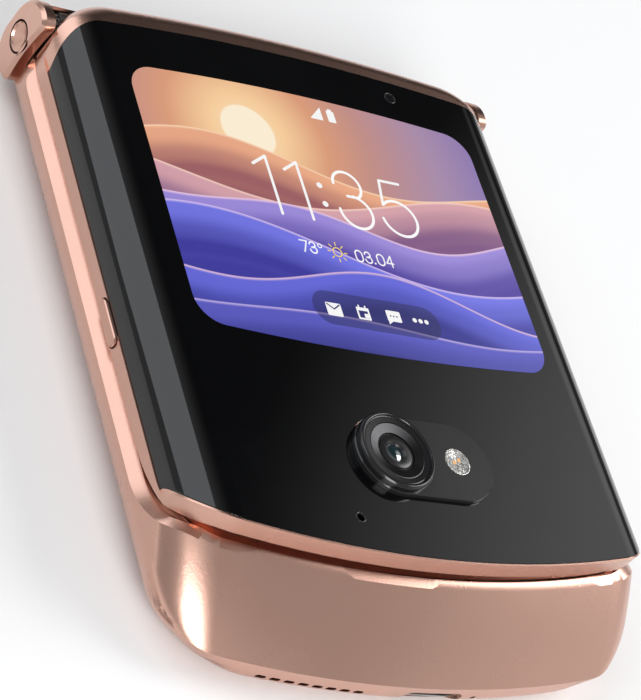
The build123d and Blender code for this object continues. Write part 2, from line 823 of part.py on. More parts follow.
with BuildPart() as lid_frame:
    extrude(lid_plan, amount=phone_thickness)
    extrude(dome_section(band_inset, 0.5), amount=reach, both=True, mode=Mode.INTERSECT)
    band_top = phone_thickness - band_inset
    add(edge_waste(hinge_end, 1, hinge_bow, hinge_nose, band_top, 1), mode=Mode.SUBTRACT)
    for side in (-1, 1):
        add(corner_waste(side, band_top), mode=Mode.SUBTRACT)
    sweep_waste = beyond_sweep(band_parting, -phone_thickness)
    extrude(sweep_waste, amount=reach, both=True, mode=Mode.SUBTRACT)
    for side in (-1, 1):
        band_edge = (band_bevel, -band_bevel)
        bevel = bevel_waste(band_parting, side, lid_half_width, band_edge, -phone_thickness)
        add(bevel, mode=Mode.SUBTRACT)
    extrude(lower_plan, amount=band_sweep[-1][1] + 0.4 - lid_bottom)
    # seat of the glass
    with BuildPart(mode=Mode.SUBTRACT):
        extrude(glass_plan(seat), amount=phone_thickness)
        under_glass = glass_thickness + seat
        extrude(dome_section(under_glass), amount=reach, both=True, mode=Mode.SUBTRACT)
    # screen recess, bend trough and hinge space
    recess_low = (-recess_half_width, recess_end, -1)
    add(box_between(recess_low, (recess_half_width, reach, lid_plate_bottom)), mode=Mode.SUBTRACT)
    trough_low = (-recess_half_width, bend_start - 0.5, -1)
    trough_high = (recess_half_width, reach, phone_thickness - trough_floor)
    add(box_between(trough_low, trough_high), mode=Mode.SUBTRACT)
    tunnel = tunnel_sketch(lid_axis_z, -1)
    extrude(tunnel, amount=cap_clear_x + 0.2, both=True, mode=Mode.SUBTRACT)
    foot_levels = (lid_plate_bottom, phone_thickness - foot_bottom + seat)
    arm_levels = (lid_plate_bottom, lid_axis_z + arm_height[0] + seat)
    for side in (-1, 1):
        x_near = min(side * cap_clear_x, side * reach)
        x_far = max(side * cap_clear_x, side * reach)
        waste = box_between((x_near, cap_clear_y, -1), (x_far, reach, reach))
        add(waste, mode=Mode.SUBTRACT)
        x_near = min(side * (foot_inner - seat), side * (arm_outer + seat))
        x_far = max(side * (foot_inner - seat), side * (arm_outer + seat))
        waste_low = (x_near, bracket_low - seat, foot_levels[0])
        add(box_between(waste_low, (x_far, axis_y, foot_levels[1])), mode=Mode.SUBTRACT)
        x_near = min(side * (lug_inner - seat), side * (arm_outer + seat))
        x_far = max(side * (lug_inner - seat), side * (arm_outer + seat))
        waste_low = (x_near, bracket_low - seat, arm_levels[0])
        add(box_between(waste_low, (x_far, axis_y, arm_levels[1])), mode=Mode.SUBTRACT)
    # room for the battery and the boards
    room_low = (-cavity_half_width, lid_room_end, lid_plate_bottom)
    add(box_between(room_low, (cavity_half_width, room_end, deck_floor)), mode=Mode.SUBTRACT)
    inner_low = (1 - foot_inner, room_end - 1, lid_plate_bottom)
    inner_high = (foot_inner - 1, cavity_hinge_end, deck_floor)
    add(box_between(inner_low, inner_high), mode=Mode.SUBTRACT)
    extrude(display_outline(display_floor, seat), amount=phone_thickness, mode=Mode.SUBTRACT)
    # keys: slot through the flank and room for the flange and switch behind it
    for side, key_y, key_length in keys:
        with BuildSketch(Plane.YZ.offset(side * (lid_half_width - key_wall))):
            with Locations((key_y, key_level)):
                slot_length = key_length + 2 * running_gap
                slot_height = key_height + 2 * running_gap
                RectangleRounded(slot_length, slot_height, slot_height / 2 - 0.01)
        extrude(amount=side * (key_wall + 1), mode=Mode.SUBTRACT)
        room_start = key_y - key_length / 2 - key_room_half
        room_stop = key_y + key_length / 2 + key_room_half
        x_wall = lid_half_width - key_wall
        x_near = min(side * (x_wall - key_room), side * x_wall)
        x_far = max(side * (x_wall - key_room), side * x_wall)
        waste_low = (x_near, room_start, key_level - flange_height / 2 - 0.1)
        waste_high = (x_far, room_stop, key_level + flange_height / 2 + 0.3)
        add(box_between(waste_low, waste_high), mode=Mode.SUBTRACT)
        x_near = min(side * (cavity_half_width - 1), side * x_wall)
        x_far = max(side * (cavity_half_width - 1), side * x_wall)
        waste_low = (x_near, room_start, lid_plate_bottom)
        add(box_between(waste_low, (x_far, room_stop, waste_high[2])), mode=Mode.SUBTRACT)
    # camera, flash, microphone, light sensor, earpiece, bracket screws
    module_x = camera_x
    half_module = camera_module_size[0] / 2 + seat
    with BuildSketch(Plane.XY.offset(deck_floor - 0.1)):
        with Locations((module_x, camera_y)):
            Rectangle(2 * half_module, 2 * half_module)
    extrude(amount=glass_floor - 0.15 - deck_floor, mode=Mode.SUBTRACT)
    add(disc(camera_x, camera_y, lug_radius + 3.1, deck_floor, phone_thickness), mode=Mode.SUBTRACT)
    mic_top = glass_floor - 0.9
    mic_low = (lid_mic_x - 1.6, mic_y - 1.35, deck_floor - 0.1)
    add(box_between(mic_low, (lid_mic_x + 1.6, mic_y + 2.0, mic_top)), mode=Mode.SUBTRACT)
    add(disc(lid_mic_x, mic_y, mic_hole_radius, mic_top - 0.1, phone_thickness), mode=Mode.SUBTRACT)
    sensor_y = display_y + sensor_from_display
    add(disc(sensor_x, sensor_y, 0.95, display_floor + 0.3, phone_thickness), mode=Mode.SUBTRACT)
    slit_low = (-5.0, earpiece_y - 0.3, 0)
    add(box_between(slit_low, (5.0, earpiece_y + 0.3, lid_plate_bottom + 0.1)), mode=Mode.SUBTRACT)
    with BuildSketch(Plane.XY.offset(phone_thickness - foot_bottom)):
        with Locations(*foot_screws, *[(-x, y) for x, y in foot_screws]):
            Circle(screw_shank[0] + 0.02)
    extrude(amount=screw_shank[1], mode=Mode.SUBTRACT)
save(lid_frame.part, "lid_frame")

# ---------------------------------------------------------------- lid: outside

neck_radius = ring_bore + 0.6
plate_top_z = phone_thickness + pill_height
ring_top_z = phone_thickness + ring_height

with BuildPart() as outer_glass:
    extrude(glass_plan(0), amount=phone_thickness)
    extrude(dome_section(0), amount=reach, both=True, mode=Mode.INTERSECT)
    extrude(dome_section(glass_thickness), amount=reach, both=True, mode=Mode.SUBTRACT)
    extrude(pill(glass_floor, seat), amount=2, mode=Mode.SUBTRACT)
    add(disc(lid_mic_x, mic_y, mic_hole_radius, 0, reach), mode=Mode.SUBTRACT)
    add(disc(sensor_x, sensor_y, 0.8, 0, reach), mode=Mode.SUBTRACT)
save(outer_glass.part, "outer_glass")

with BuildPart() as outer_display:
    extrude(display_outline(display_floor + 0.02, 0), amount=display_thickness - 0.02)
save(outer_display.part, "outer_display")

with BuildPart() as camera_plate:
    extrude(pill(glass_floor + 0.02, 0), amount=plate_top_z - glass_floor - 0.02)
    chamfer(camera_plate.edges().group_by(Axis.Z)[-1], 0.15)
    add(disc(camera_x, camera_y, neck_radius + seat, 0, reach), mode=Mode.SUBTRACT)
    flash_seat = plate_top_z - lens_thickness
    add(disc(flash_x, camera_y, flash_radius + 0.03, flash_seat, reach), mode=Mode.SUBTRACT)
    add(disc(flash_x, camera_y, flash_radius - 0.35, 0, reach), mode=Mode.SUBTRACT)
save(camera_plate.part, "camera_plate")

with BuildPart() as camera_ring:
    add(disc(camera_x, camera_y, ring_radius, plate_top_z + 0.01, ring_top_z))
    chamfer(camera_ring.edges().group_by(Axis.Z)[-1], 0.3)
    add(disc(camera_x, camera_y, neck_radius, glass_floor + 0.02, plate_top_z + 0.02))
    lens_seat = ring_top_z - lens_recess - lens_thickness
    add(disc(camera_x, camera_y, ring_bore, lens_seat, reach), mode=Mode.SUBTRACT)
    add(disc(camera_x, camera_y, ring_bore - 0.6, 0, reach), mode=Mode.SUBTRACT)
save(camera_ring.part, "camera_ring")

with BuildPart() as camera_lens:
    add(disc(camera_x, camera_y, ring_bore - 0.03, lens_seat + 0.01, lens_seat + lens_thickness))
save(camera_lens.part, "camera_lens")

with BuildPart() as camera_module:
    with BuildSketch(Plane.XY.offset(module_floor)):
        with Locations((module_x, camera_y)):
            RectangleRounded(camera_module_size[0], camera_module_size[1], 0.6)
    extrude(amount=camera_module_size[2])
    module_top = module_floor + camera_module_size[2]
    add(disc(camera_x, camera_y, ring_bore - 0.7, module_top - 0.1, lens_seat - 0.1))
    add(disc(camera_x, camera_y, 1.5, lens_seat - 0.6, reach), mode=Mode.SUBTRACT)
    chamfer(camera_module.edges().filter_by(GeomType.CIRCLE).sort_by(Axis.Z)[-1], 0.35)
save(camera_module.part, "camera_module")

with BuildPart() as flash_lens:
    add(disc(flash_x, camera_y, flash_radius, flash_seat + 0.01, plate_top_z))
save(flash_lens.part, "flash_lens")

with BuildPart() as flash_led:
    led_floor = glass_floor + 0.02
    with BuildSketch(Plane.XY.offset(led_floor)):
        with Locations((flash_x, camera_y)):
            Rectangle(flash_led_size[0], flash_led_size[1])
    extrude(amount=flash_led_size[2])
save(flash_led.part, "flash_led")

with BuildPart() as lid_microphone:
    with BuildSketch(Plane.XY.offset(mic_top - 1.05)):
        with Locations((lid_mic_x, mic_y + 0.1)):
            Rectangle(3.0, 2.6)
    extrude(amount=1.0)
save(lid_microphone.part, "lid_microphone")

with BuildPart() as light_sensor:
    add(disc(sensor_x, sensor_y, 0.9, display_floor + 0.32, glass_floor - 0.05))
    add(disc(sensor_x, sensor_y, 0.75, glass_floor - 0.1, phone_thickness - 0.02))
save(light_sensor.part, "light_sensor")

# ---------------------------------------------------------------- lid: inside

lid_board_floor = lid_plate_bottom + seat
board_start = room_end - 0.4 - lid_board_length
lid_battery_low = camera_y + camera_module_size[1] / 2 + battery_camera_gap
lid_battery_length = board_start - battery_clearance - lid_battery_low
lid_battery_y = lid_battery_low + lid_battery_length / 2

with BuildPart() as lid_battery:
    with BuildSketch(Plane.XY.offset(lid_board_floor)):
        with Locations((0, lid_battery_y)):
            RectangleRounded(battery_size[0], lid_battery_length, 2)
    extrude(amount=deck_floor - 0.1 - lid_board_floor)
    fillet(lid_battery.edges().group_by(Axis.Z)[-1], 0.5)
save(lid_battery.part, "lid_battery")

with BuildPart() as lid_board:
    inner = (foot_inner - 1.4, cavity_hinge_end - 0.4)
    with BuildSketch(Plane.XY.offset(lid_board_floor)):
        with BuildLine():
            Polyline(
                (-board_half_width, board_start),
                (board_half_width, board_start),
                (board_half_width, room_end - 0.4),
                (inner[0], room_end - 0.4),
                (inner[0], inner[1]),
                (-inner[0], inner[1]),
                (-inner[0], room_end - 0.4),
                (-board_half_width, room_end - 0.4),
                close=True,
            )
        make_face()
    extrude(amount=board_thickness)
    with BuildSketch(Plane.XY.offset(lid_board_floor + board_thickness)):
        with Locations((processor_x, board_start + chip_setback + processor[1] / 2)):
            Rectangle(*processor)
        with Locations((radio_chip_x, board_start + 0.5 + chip_setback + radio_chip[1] / 2)):
            Rectangle(*radio_chip)
    extrude(amount=chip_height[1])
save(lid_board.part, "lid_board")

with BuildPart() as selfie_camera:
    add(disc(selfie_x, selfie_y, selfie_radius, phone_thickness - screen_top + 0.1, 10.0))
    add(disc(selfie_x, selfie_y, 0.8, 0, phone_thickness - screen_top + 0.6), mode=Mode.SUBTRACT)
    with BuildSketch(Plane.XY.offset(lid_board_floor)):
        with Locations((selfie_x, selfie_y)):
            Rectangle(5.0, 5.0)
    extrude(amount=module_floor - 0.1 - lid_board_floor)
save(selfie_camera.part, "selfie_camera")

with BuildPart() as earpiece:
    with BuildSketch(Plane.XY.offset(lid_board_floor)):
        with Locations((0, earpiece_y + 0.9)):
            RectangleRounded(earpiece_size[0], earpiece_size[1], 0.8)
    extrude(amount=earpiece_size[2])
save(earpiece.part, "earpiece")

save(midplate(selfie_radius + 0.15).mirror(mirror_plane), "lid_midplate")
save(flexible_panel(selfie_radius + 0.05).mirror(mirror_plane), "screen_lid")
save(bezel().mirror(mirror_plane), "lid_bezel")


def key(side, key_y, key_length):
    """Side key: a rounded bar through the flank with a flange behind it."""
    outer = lid_half_width + key_proud
    inner = lid_half_width - key_wall - seat
    with BuildPart() as bar:
        with BuildSketch(Plane.YZ.offset(side * inner)):
            with Locations((key_y, key_level)):
                RectangleRounded(key_length, key_height, key_height / 2 - 0.01)
        extrude(amount=side * (outer - inner))
        chamfer(bar.faces().sort_by(Axis.X)[-1 if side > 0 else 0].edges(), 0.12)
        with BuildSketch(Plane.YZ.offset(side * inner)):
            with Locations((key_y, key_level)):
                RectangleRounded(key_length + 1.2, flange_height, 0.5)
        extrude(amount=-side * key_flange)
    return bar.part


save(key(*keys[0]), "power_key")
save(key(*keys[1]), "volume_key")

with BuildPart() as key_switches:
    for side, key_y, key_length in keys:
        face = side * (lid_half_width - key_wall - seat - key_flange - key_travel - 0.05)
        back = side * (lid_half_width - key_wall - key_room + 0.02)
        low = (min(face, back), key_y - key_length / 2 + 0.5, key_level - 0.7)
        high = (max(face, back), key_y + key_length / 2 - 0.5, key_level + 0.7)
        add(box_between(low, high))
save(key_switches.part, "key_switches")

# ---------------------------------------------------------------- hinge

lug_outer = lug_inner + lug_width
gear_inner = lug_outer + 0.2
gear_outer = gear_inner + gear_width
spine_inner = lug_inner - running_gap - hinge_plate_thickness
pin_end = cap_inner + 0.5
idler_z = (base_axis_z + axis_spacing / 3, lid_axis_z - axis_spacing / 3)


def lug_bracket(side):
    """Base hinge bracket: a lug round the pin, an arm and a screwed foot."""
    with BuildPart() as bracket:
        with BuildSketch(Plane.YZ.offset(side * lug_inner)):
            with Locations((axis_y, base_axis_z)):
                Circle(lug_radius)
            low_z = base_axis_z - arm_height[0]
            high_z = base_axis_z + arm_height[1]
            with BuildLine():
                Polyline(
                    (bracket_low, low_z),
                    (axis_y, low_z),
                    (axis_y, high_z),
                    (bracket_low, high_z),
                    close=True,
                )
            make_face()
            with Locations((axis_y, base_axis_z)):
                Circle(pin_radius + pin_clearance, mode=Mode.SUBTRACT)
        extrude(amount=side * lug_width)
        low = (min(side * foot_inner, side * lug_outer), bracket_low, foot_bottom)
        high = (max(side * foot_inner, side * lug_outer), foot_high_y, foot_top)
        add(box_between(low, high))
        with BuildSketch(Plane.XY.offset(foot_bottom)):
            with Locations(*[(side * x, y) for x, y in foot_screws]):
                Circle(screw_shank[0] + 0.02)
        extrude(amount=foot_top - foot_bottom, mode=Mode.SUBTRACT)
    return bracket.part


def foot_screw_set():
    """The four screws that hold the base's brackets."""
    places = foot_screws + [(-x, y) for x, y in foot_screws]
    with BuildPart() as screws:
        with BuildSketch(Plane.XY.offset(foot_top)):
            with Locations(*places):
                Circle(screw_head[0])
        extrude(amount=screw_head[1])
        with BuildSketch(Plane.XY.offset(foot_top)):
            with Locations(*places):
                Circle(screw_shank[0])
        extrude(amount=0.05 - screw_shank[1] - foot_top + foot_bottom)
        with BuildSketch(Plane.XY.offset(foot_top + screw_head[1])):
            with Locations(*places):
                Rectangle(1.3, 0.3)
                Rectangle(0.3, 1.3)
        extrude(amount=-0.25, mode=Mode.SUBTRACT)
    return screws.part


def gear_outline(offset, centre_z, phase, bore):
    """Involute gear outline with its bore, in a plane square to X."""
    module = axis_spacing / 3 / gear_teeth
    pitch = module * gear_teeth / 2
    base_circle = pitch * cos(radians(gear_pressure_angle))
    tip = pitch + gear_addendum * module
    root = pitch - gear_dedendum * module
    pressure = radians(gear_pressure_angle)
    half_tooth = pi / 2 / gear_teeth - gear_backlash / 2 / pitch + tan(pressure) - pressure
    flank = [(root, half_tooth), (base_circle, half_tooth)]
    for i in range(1, 5):
        r = base_circle + (tip - base_circle) * i / 4
        angle = acos(base_circle / r)
        flank.append((r, half_tooth - tan(angle) + angle))
    points = []
    for tooth in range(gear_teeth):
        middle = radians(phase) + 2 * pi * tooth / gear_teeth
        edge = [(r, middle - a) for r, a in flank] + [(r, middle + a) for r, a in flank[::-1]]
        points += [(axis_y + r * cos(a), centre_z + r * sin(a)) for r, a in edge]
    with BuildSketch(Plane.YZ.offset(offset)) as outline:
        with BuildLine():
            Polyline(*points, close=True)
        make_face()
        with Locations((axis_y, centre_z)):
            Circle(bore, mode=Mode.SUBTRACT)
    return outline.sketch


def gear_pair(centre_z, phase, bore, hub):
    """The same gear at both ends of the hinge, with a hub towards the lug if it has one."""
    with BuildPart() as pair:
        for side in (-1, 1):
            outline = gear_outline(side * gear_inner, centre_z, phase, bore)
            extrude(outline, amount=side * gear_width)
            if hub:
                with BuildSketch(Plane.YZ.offset(side * gear_inner)):
                    with Locations((axis_y, centre_z)):
                        Circle(hub)
                        Circle(bore, mode=Mode.SUBTRACT)
                extrude(amount=side * 0.02 - side * (gear_inner - lug_outer))
    return pair.part


def round_bars(places, radius, inner, outer):
    """Bars along X at both ends of the hinge."""
    with BuildPart() as bars:
        for side in (-1, 1):
            with BuildSketch(Plane.YZ.offset(side * inner)):
                with Locations(*[(axis_y, z) for z in places]):
                    Circle(radius)
            extrude(amount=side * (outer - inner))
    return bars.part


for side, name in ((-1, "left"), (1, "right")):
    save(lug_bracket(side), f"base_hinge_bracket_{name}")
    save(lug_bracket(side).mirror(mirror_plane), f"lid_hinge_bracket_{name}")
save(foot_screw_set(), "base_screws")
save(foot_screw_set().mirror(mirror_plane), "lid_screws")

pin_bore = pin_radius + pin_clearance
idler_bore = idler_shaft_radius + pin_clearance
save(gear_pair(base_axis_z, 18, pin_bore, 0.85), "base_gears")
save(gear_pair(idler_z[0], 0, idler_bore, 0), "idler_gears_lower")
save(gear_pair(idler_z[1], 18, idler_bore, 0), "idler_gears_upper")
save(gear_pair(lid_axis_z, 0, pin_bore, 0.85), "lid_gears")

both_axes = (base_axis_z, lid_axis_z)
save(round_bars(both_axes, pin_radius, spine_inner + 0.05, pin_end - 0.05), "hinge_pins")
save(round_bars(idler_z, idler_shaft_radius, gear_inner - 0.1, pin_end - 0.05), "idler_shafts")


def cover_band(outer, inner, wrap):
    """Section of the hinge cover between two radii."""
    turn = radians(wrap)
    with BuildSketch(Plane.YZ) as section:
        with BuildLine():
            points = []
            for r in (outer, inner):
                foot = (axis_y + r * cos(turn), base_axis_z - r * sin(turn))
                bend = (axis_y + r * cos(turn / 2), base_axis_z - r * sin(turn / 2))
                low = (axis_y + r, base_axis_z)
                points.append((foot, bend, low))
                ThreePointArc(foot, bend, low)
                Line(low, (low[0], phone_thickness - low[1]))
                top = [(y, phone_thickness - z) for y, z in (low, bend, foot)]
                ThreePointArc(*top)
            for k in (1, -1):
                ends = [(y, mid_height + k * (z - mid_height)) for (y, z), _, _ in points]
                Line(*ends)
        make_face()
    return section.sketch


with BuildPart() as hinge_cover:
    cover_half = cap_inner - seat
    cover_section = cover_band(cover_radius, cover_radius - cover_wall, cover_wrap)
    extrude(cover_section, amount=cover_half, both=True)
save(hinge_cover.part, "hinge_cover")


def hinge_plate(side):
    """Plate that carries both hinge pins and fits inside the cover."""
    inner_face = cover_radius - cover_wall - 0.02
    with BuildPart() as plate:
        with BuildSketch(Plane.YZ.offset(side * spine_inner)):
            with Locations((axis_y, base_axis_z), (axis_y, lid_axis_z)):
                Circle(1.6)
            with BuildLine():
                Polyline(
                    (axis_y - 1.6, base_axis_z),
                    (axis_y + inner_face, base_axis_z),
                    (axis_y + inner_face, lid_axis_z),
                    (axis_y - 1.6, lid_axis_z),
                    close=True,
                )
            make_face()
            with Locations((axis_y, base_axis_z), (axis_y, lid_axis_z)):
                Circle(pin_radius + 0.01, mode=Mode.SUBTRACT)
        extrude(amount=side * hinge_plate_thickness)
    return plate.part


def hinge_cap(side):
    """Rounded end cap with a hollowed inner side and a conical dimple."""
    chord_y = cap_axis_y - cap_flat_offset
    half_chord = cap_spread / 2 + sqrt(cap_radius**2 - cap_flat_offset**2)
    low = (chord_y, mid_height - half_chord)
    high = (chord_y, mid_height + half_chord)
    side_low = (half_length, mid_height - cap_spread / 2)
    side_high = (half_length, mid_height + cap_spread / 2)
    with BuildPart() as cap:
        with BuildSketch(Plane.YZ.offset(side * cap_inner)) as outline:
            with BuildLine():
                TangentArc(side_low, low, tangent=(0, -1))
                Line(side_low, side_high)
                TangentArc(side_high, high, tangent=(0, 1))
                ThreePointArc(high, (chord_y + cap_hollow, mid_height), low)
            make_face()
            fillet(outline.vertices().group_by(Axis.X)[0], cap_corner)
        extrude(amount=side * cap_thickness)
        outer_face = cap.faces().sort_by(Axis.X)[-1 if side > 0 else 0]
        chamfer(outer_face.edges(), cap_bevel)
        dimple_y = half_length - dimple_from_end
        with Locations(Plane(origin=(side * half_width, dimple_y, mid_height), z_dir=(-side, 0, 0))):
            Cone(
                dimple_radius,
                0.3,
                dimple_depth,
                align=(Align.CENTER, Align.CENTER, Align.MIN),
                mode=Mode.SUBTRACT,
            )
        with BuildSketch(Plane.YZ.offset(side * cap_inner)):
            with Locations((axis_y, base_axis_z), (axis_y, lid_axis_z)):
                Circle(pin_radius + 0.01)
            with Locations(*[(axis_y, z) for z in idler_z]):
                Circle(idler_shaft_radius + 0.01)
        extrude(amount=side * (pin_end - cap_inner), mode=Mode.SUBTRACT)
    return cap.part


for side, name in ((-1, "left"), (1, "right")):
    save(hinge_plate(side), f"hinge_plate_{name}")
    save(hinge_cap(side), f"hinge_cap_{name}")

# ---------------------------------------------------------------- flexible screen's bend

half_screen = screen_thickness / 2
leg_z = mid_height - screen_top + half_screen
bulb_y = axis_y - bend_bulb_offset


flare_centre_z = leg_z + bend_flare_radius
tilt = acos(flare_centre_z / (bend_flare_radius + bend_bulb_radius))
flare_y = bulb_y - (bend_flare_radius + bend_bulb_radius) * sin(tilt)

with BuildPart() as screen_bend:
    with BuildSketch(Plane.YZ):
        with BuildLine():
            for offset in (half_screen, -half_screen):
                flare = bend_flare_radius - offset
                bulb = bend_bulb_radius + offset
                leg_end = (bend_start, leg_z + offset)
                leg_start = (flare_y, leg_z + offset)
                flare_middle = (
                    flare_y + flare * sin(tilt / 2),
                    flare_centre_z - flare * cos(tilt / 2),
                )
                join = (bulb_y - bulb * sin(tilt), bulb * cos(tilt))
                for k in (-1, 1):
                    half_line = (leg_end, leg_start, flare_middle, join)
                    a, b, c, d = [(y, mid_height + k * z) for y, z in half_line]
                    Line(a, b)
                    ThreePointArc(b, c, d)
                mirrored_join = (join[0], mid_height - join[1])
                fold_line = (bulb_y + bulb, mid_height)
                ThreePointArc((join[0], mid_height + join[1]), fold_line, mirrored_join)
            for k in (-1, 1):
                Line(
                    (bend_start, mid_height + k * (leg_z - half_screen)),
                    (bend_start, mid_height + k * (leg_z + half_screen)),
                )
        make_face()
    extrude(amount=screen_half_width, both=True)
save(screen_bend.part, "screen_bend")
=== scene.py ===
"""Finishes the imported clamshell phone: metal, glass, screens, camera, keys, hinge and studio."""

import json
from functools import partialmethod
from math import acos, atan2, copysign, cos, degrees, pi, radians, sin, sqrt

import bmesh
import bpy
from mathutils import Matrix, Quaternion, Vector


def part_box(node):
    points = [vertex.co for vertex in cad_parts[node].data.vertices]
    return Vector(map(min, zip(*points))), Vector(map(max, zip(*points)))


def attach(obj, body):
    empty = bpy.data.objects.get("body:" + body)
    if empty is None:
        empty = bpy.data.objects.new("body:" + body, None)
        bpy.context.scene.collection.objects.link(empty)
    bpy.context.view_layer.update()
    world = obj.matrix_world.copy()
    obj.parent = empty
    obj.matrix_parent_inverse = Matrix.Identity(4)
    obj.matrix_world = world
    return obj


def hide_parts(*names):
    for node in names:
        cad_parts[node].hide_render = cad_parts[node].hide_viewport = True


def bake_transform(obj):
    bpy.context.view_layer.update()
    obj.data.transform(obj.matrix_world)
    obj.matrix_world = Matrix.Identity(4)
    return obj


bl_info = {
    "name": "Clamshell Phone Finish",
    "version": (1, 0, 0),
    "blender": (4, 5, 0),
    "location": "View3D > Sidebar > Phone",
    "description": "Builds the finished surfaces of a folding phone around its packed CAD frame",
    "category": "Object",
}

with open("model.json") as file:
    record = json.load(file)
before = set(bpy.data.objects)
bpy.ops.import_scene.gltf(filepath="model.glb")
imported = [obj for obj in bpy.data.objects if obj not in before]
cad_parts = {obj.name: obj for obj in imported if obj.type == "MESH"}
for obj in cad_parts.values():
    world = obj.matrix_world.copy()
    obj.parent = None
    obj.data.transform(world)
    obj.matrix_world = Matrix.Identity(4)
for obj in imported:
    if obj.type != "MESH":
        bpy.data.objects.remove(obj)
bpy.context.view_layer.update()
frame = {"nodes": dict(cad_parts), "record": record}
MM = 0.001
LAYER = 0.00001  # thickness of each layer of the lit screen
GLASS_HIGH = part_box("outer_glass")[1]
PANEL_LOW, PANEL_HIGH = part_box("outer_display")
RING_LOW, RING_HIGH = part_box("camera_ring")
PLATE_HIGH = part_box("camera_plate")[1]


# ------------------------------------------------------------------ settings


class PhoneFinish(bpy.types.PropertyGroup):
    """Colours and surface values of the phone's own finishes."""

    metal_colour: bpy.props.FloatVectorProperty(
        name="Metal", description="Tint of the anodised shell", subtype="COLOR", size=3,
        min=0, max=1, default=(0.65, 0.395, 0.315),
    )
    metal_roughness: bpy.props.FloatProperty(
        name="Metal Roughness", description="How satin the blasted shell is", subtype="FACTOR",
        min=0, max=1, default=0.27,
    )
    glass_colour: bpy.props.FloatVectorProperty(
        name="Glass", description="Tint seen through the outer glass", subtype="COLOR", size=3,
        min=0, max=1, default=(0.0015, 0.0016, 0.0020),
    )
    screen_glow: bpy.props.FloatProperty(
        name="Screen Glow", description="Brightness of the outer screen's picture", min=0, max=5,
        default=0.95,
    )
    clock_stroke: bpy.props.FloatProperty(
        name="Clock Stroke", description="Width of the clock's lines", subtype="DISTANCE",
        unit="LENGTH", min=0, default=0.00042,
    )
    dimple_radius: bpy.props.FloatProperty(
        name="Dimple Radius", description="Of the turned dimple in each hinge cap",
        subtype="DISTANCE", unit="LENGTH", min=0, default=0.00192,
    )
    dimple_setback: bpy.props.FloatProperty(
        name="Dimple Setback", description="From the cap's rear end to the dimple's centre",
        subtype="DISTANCE", unit="LENGTH", min=0, default=0.0037,
    )


class PhoneStage(bpy.types.PropertyGroup):
    """Floor, lamps and camera."""

    floor_colour: bpy.props.FloatVectorProperty(
        name="Floor", description="Colour of the floor", subtype="COLOR", size=3, min=0, max=1,
        default=(0.94, 0.94, 0.94),
    )
    lamp_power: bpy.props.FloatProperty(
        name="Lamp Power", description="Scales every lamp", min=0, default=1.0,
    )
    world_level: bpy.props.FloatProperty(
        name="Room Level", description="Light that comes from all round", min=0, default=0.40,
    )
    side_level: bpy.props.FloatProperty(
        name="Side Level", description="Extra light from the right", min=0, default=0.40,
    )
    shade_level: bpy.props.FloatProperty(
        name="Shade Level", description="Light held back behind the glass", min=0, default=0.37,
    )
    lens: bpy.props.FloatProperty(
        name="Lens", description="Focal length for a 36 mm long side", min=1, default=130.07,
    )


# ------------------------------------------------------------------ node trees


class Tree:
    """Adds nodes to a tree and links what is passed to them."""

    def __init__(self, tree):
        self.tree = tree

    def add(self, kind, sockets=None, **settings):
        """A node with its settings, and its sockets set to values or linked to other sockets."""
        node = self.tree.nodes.new(kind)
        for name, value in settings.items():
            setattr(node, name, value)
        self.fill(node, sockets or {})
        return node

    def fill(self, node, sockets):
        """Feeds the inputs that a dictionary names."""
        for key, value in sockets.items():
            self.feed(node.inputs[key], value)

    def feed(self, socket, value):
        """Links or sets one input."""
        if isinstance(value, bpy.types.NodeSocket):
            self.tree.links.new(value, socket)
        else:
            socket.default_value = value

    def math(self, operation, *values, clamp=False):
        """Output of a Math node."""
        node = self.add("ShaderNodeMath", operation=operation, use_clamp=clamp)
        for socket, value in zip(node.inputs, values):
            self.feed(socket, value)
        return node.outputs[0]

    plus = partialmethod(math, "ADD")
    minus = partialmethod(math, "SUBTRACT")
    times = partialmethod(math, "MULTIPLY")
    over = partialmethod(math, "DIVIDE")

    def step(self, value, low, high, low_to=0.0, high_to=1.0):
        """Smooth step of a value between two limits."""
        limits = {"From Min": low, "From Max": high, "To Min": low_to, "To Max": high_to}
        node = self.add("ShaderNodeMapRange", {"Value": value, **limits}, interpolation_type="SMOOTHSTEP")
        return node.outputs[0]

    def mix(self, factor, first, second):
        """Output of a colour Mix node."""
        node = self.add("ShaderNodeMix", data_type="RGBA")
        self.fill(node, {0: factor, 6: first, 7: second})
        return node.outputs[2]

    def ramp(self, factor, stops):
        """Colour ramp from (position, colour) pairs."""
        node = self.add("ShaderNodeValToRGB", {"Fac": factor})
        elements = node.color_ramp.elements
        for i, (position, colour) in enumerate(stops):
            element = elements[i] if i < 2 else elements.new(position)
            element.position = position
            element.color = (*colour, 1)
        return node.outputs[0]


def new_group(name, inputs, outputs, kind="NodeSocketFloat"):
    """Shader node group with number inputs, given with their defaults, and outputs of one kind."""
    tree = bpy.data.node_groups.new(name, "ShaderNodeTree")
    for label, default in inputs.items():
        socket = tree.interface.new_socket(label, in_out="INPUT", socket_type="NodeSocketFloat")
        socket.default_value = default
    for label in outputs:
        tree.interface.new_socket(label, in_out="OUTPUT", socket_type=kind)
    t = Tree(tree)
    return t, t.add("NodeGroupInput").outputs, t.add("NodeGroupOutput").inputs


def object_point(t):
    """Object coordinates, which are the phone's own frame."""
    return t.add("ShaderNodeTexCoord").outputs["Object"]


def noise(t, point, size, detail, distortion=0.0):
    """Noise with features of a size."""
    sockets = {"Vector": point, "Scale": t.over(1.0, size), "Detail": detail, "Distortion": distortion}
    return t.add("ShaderNodeTexNoise", sockets).outputs[0]


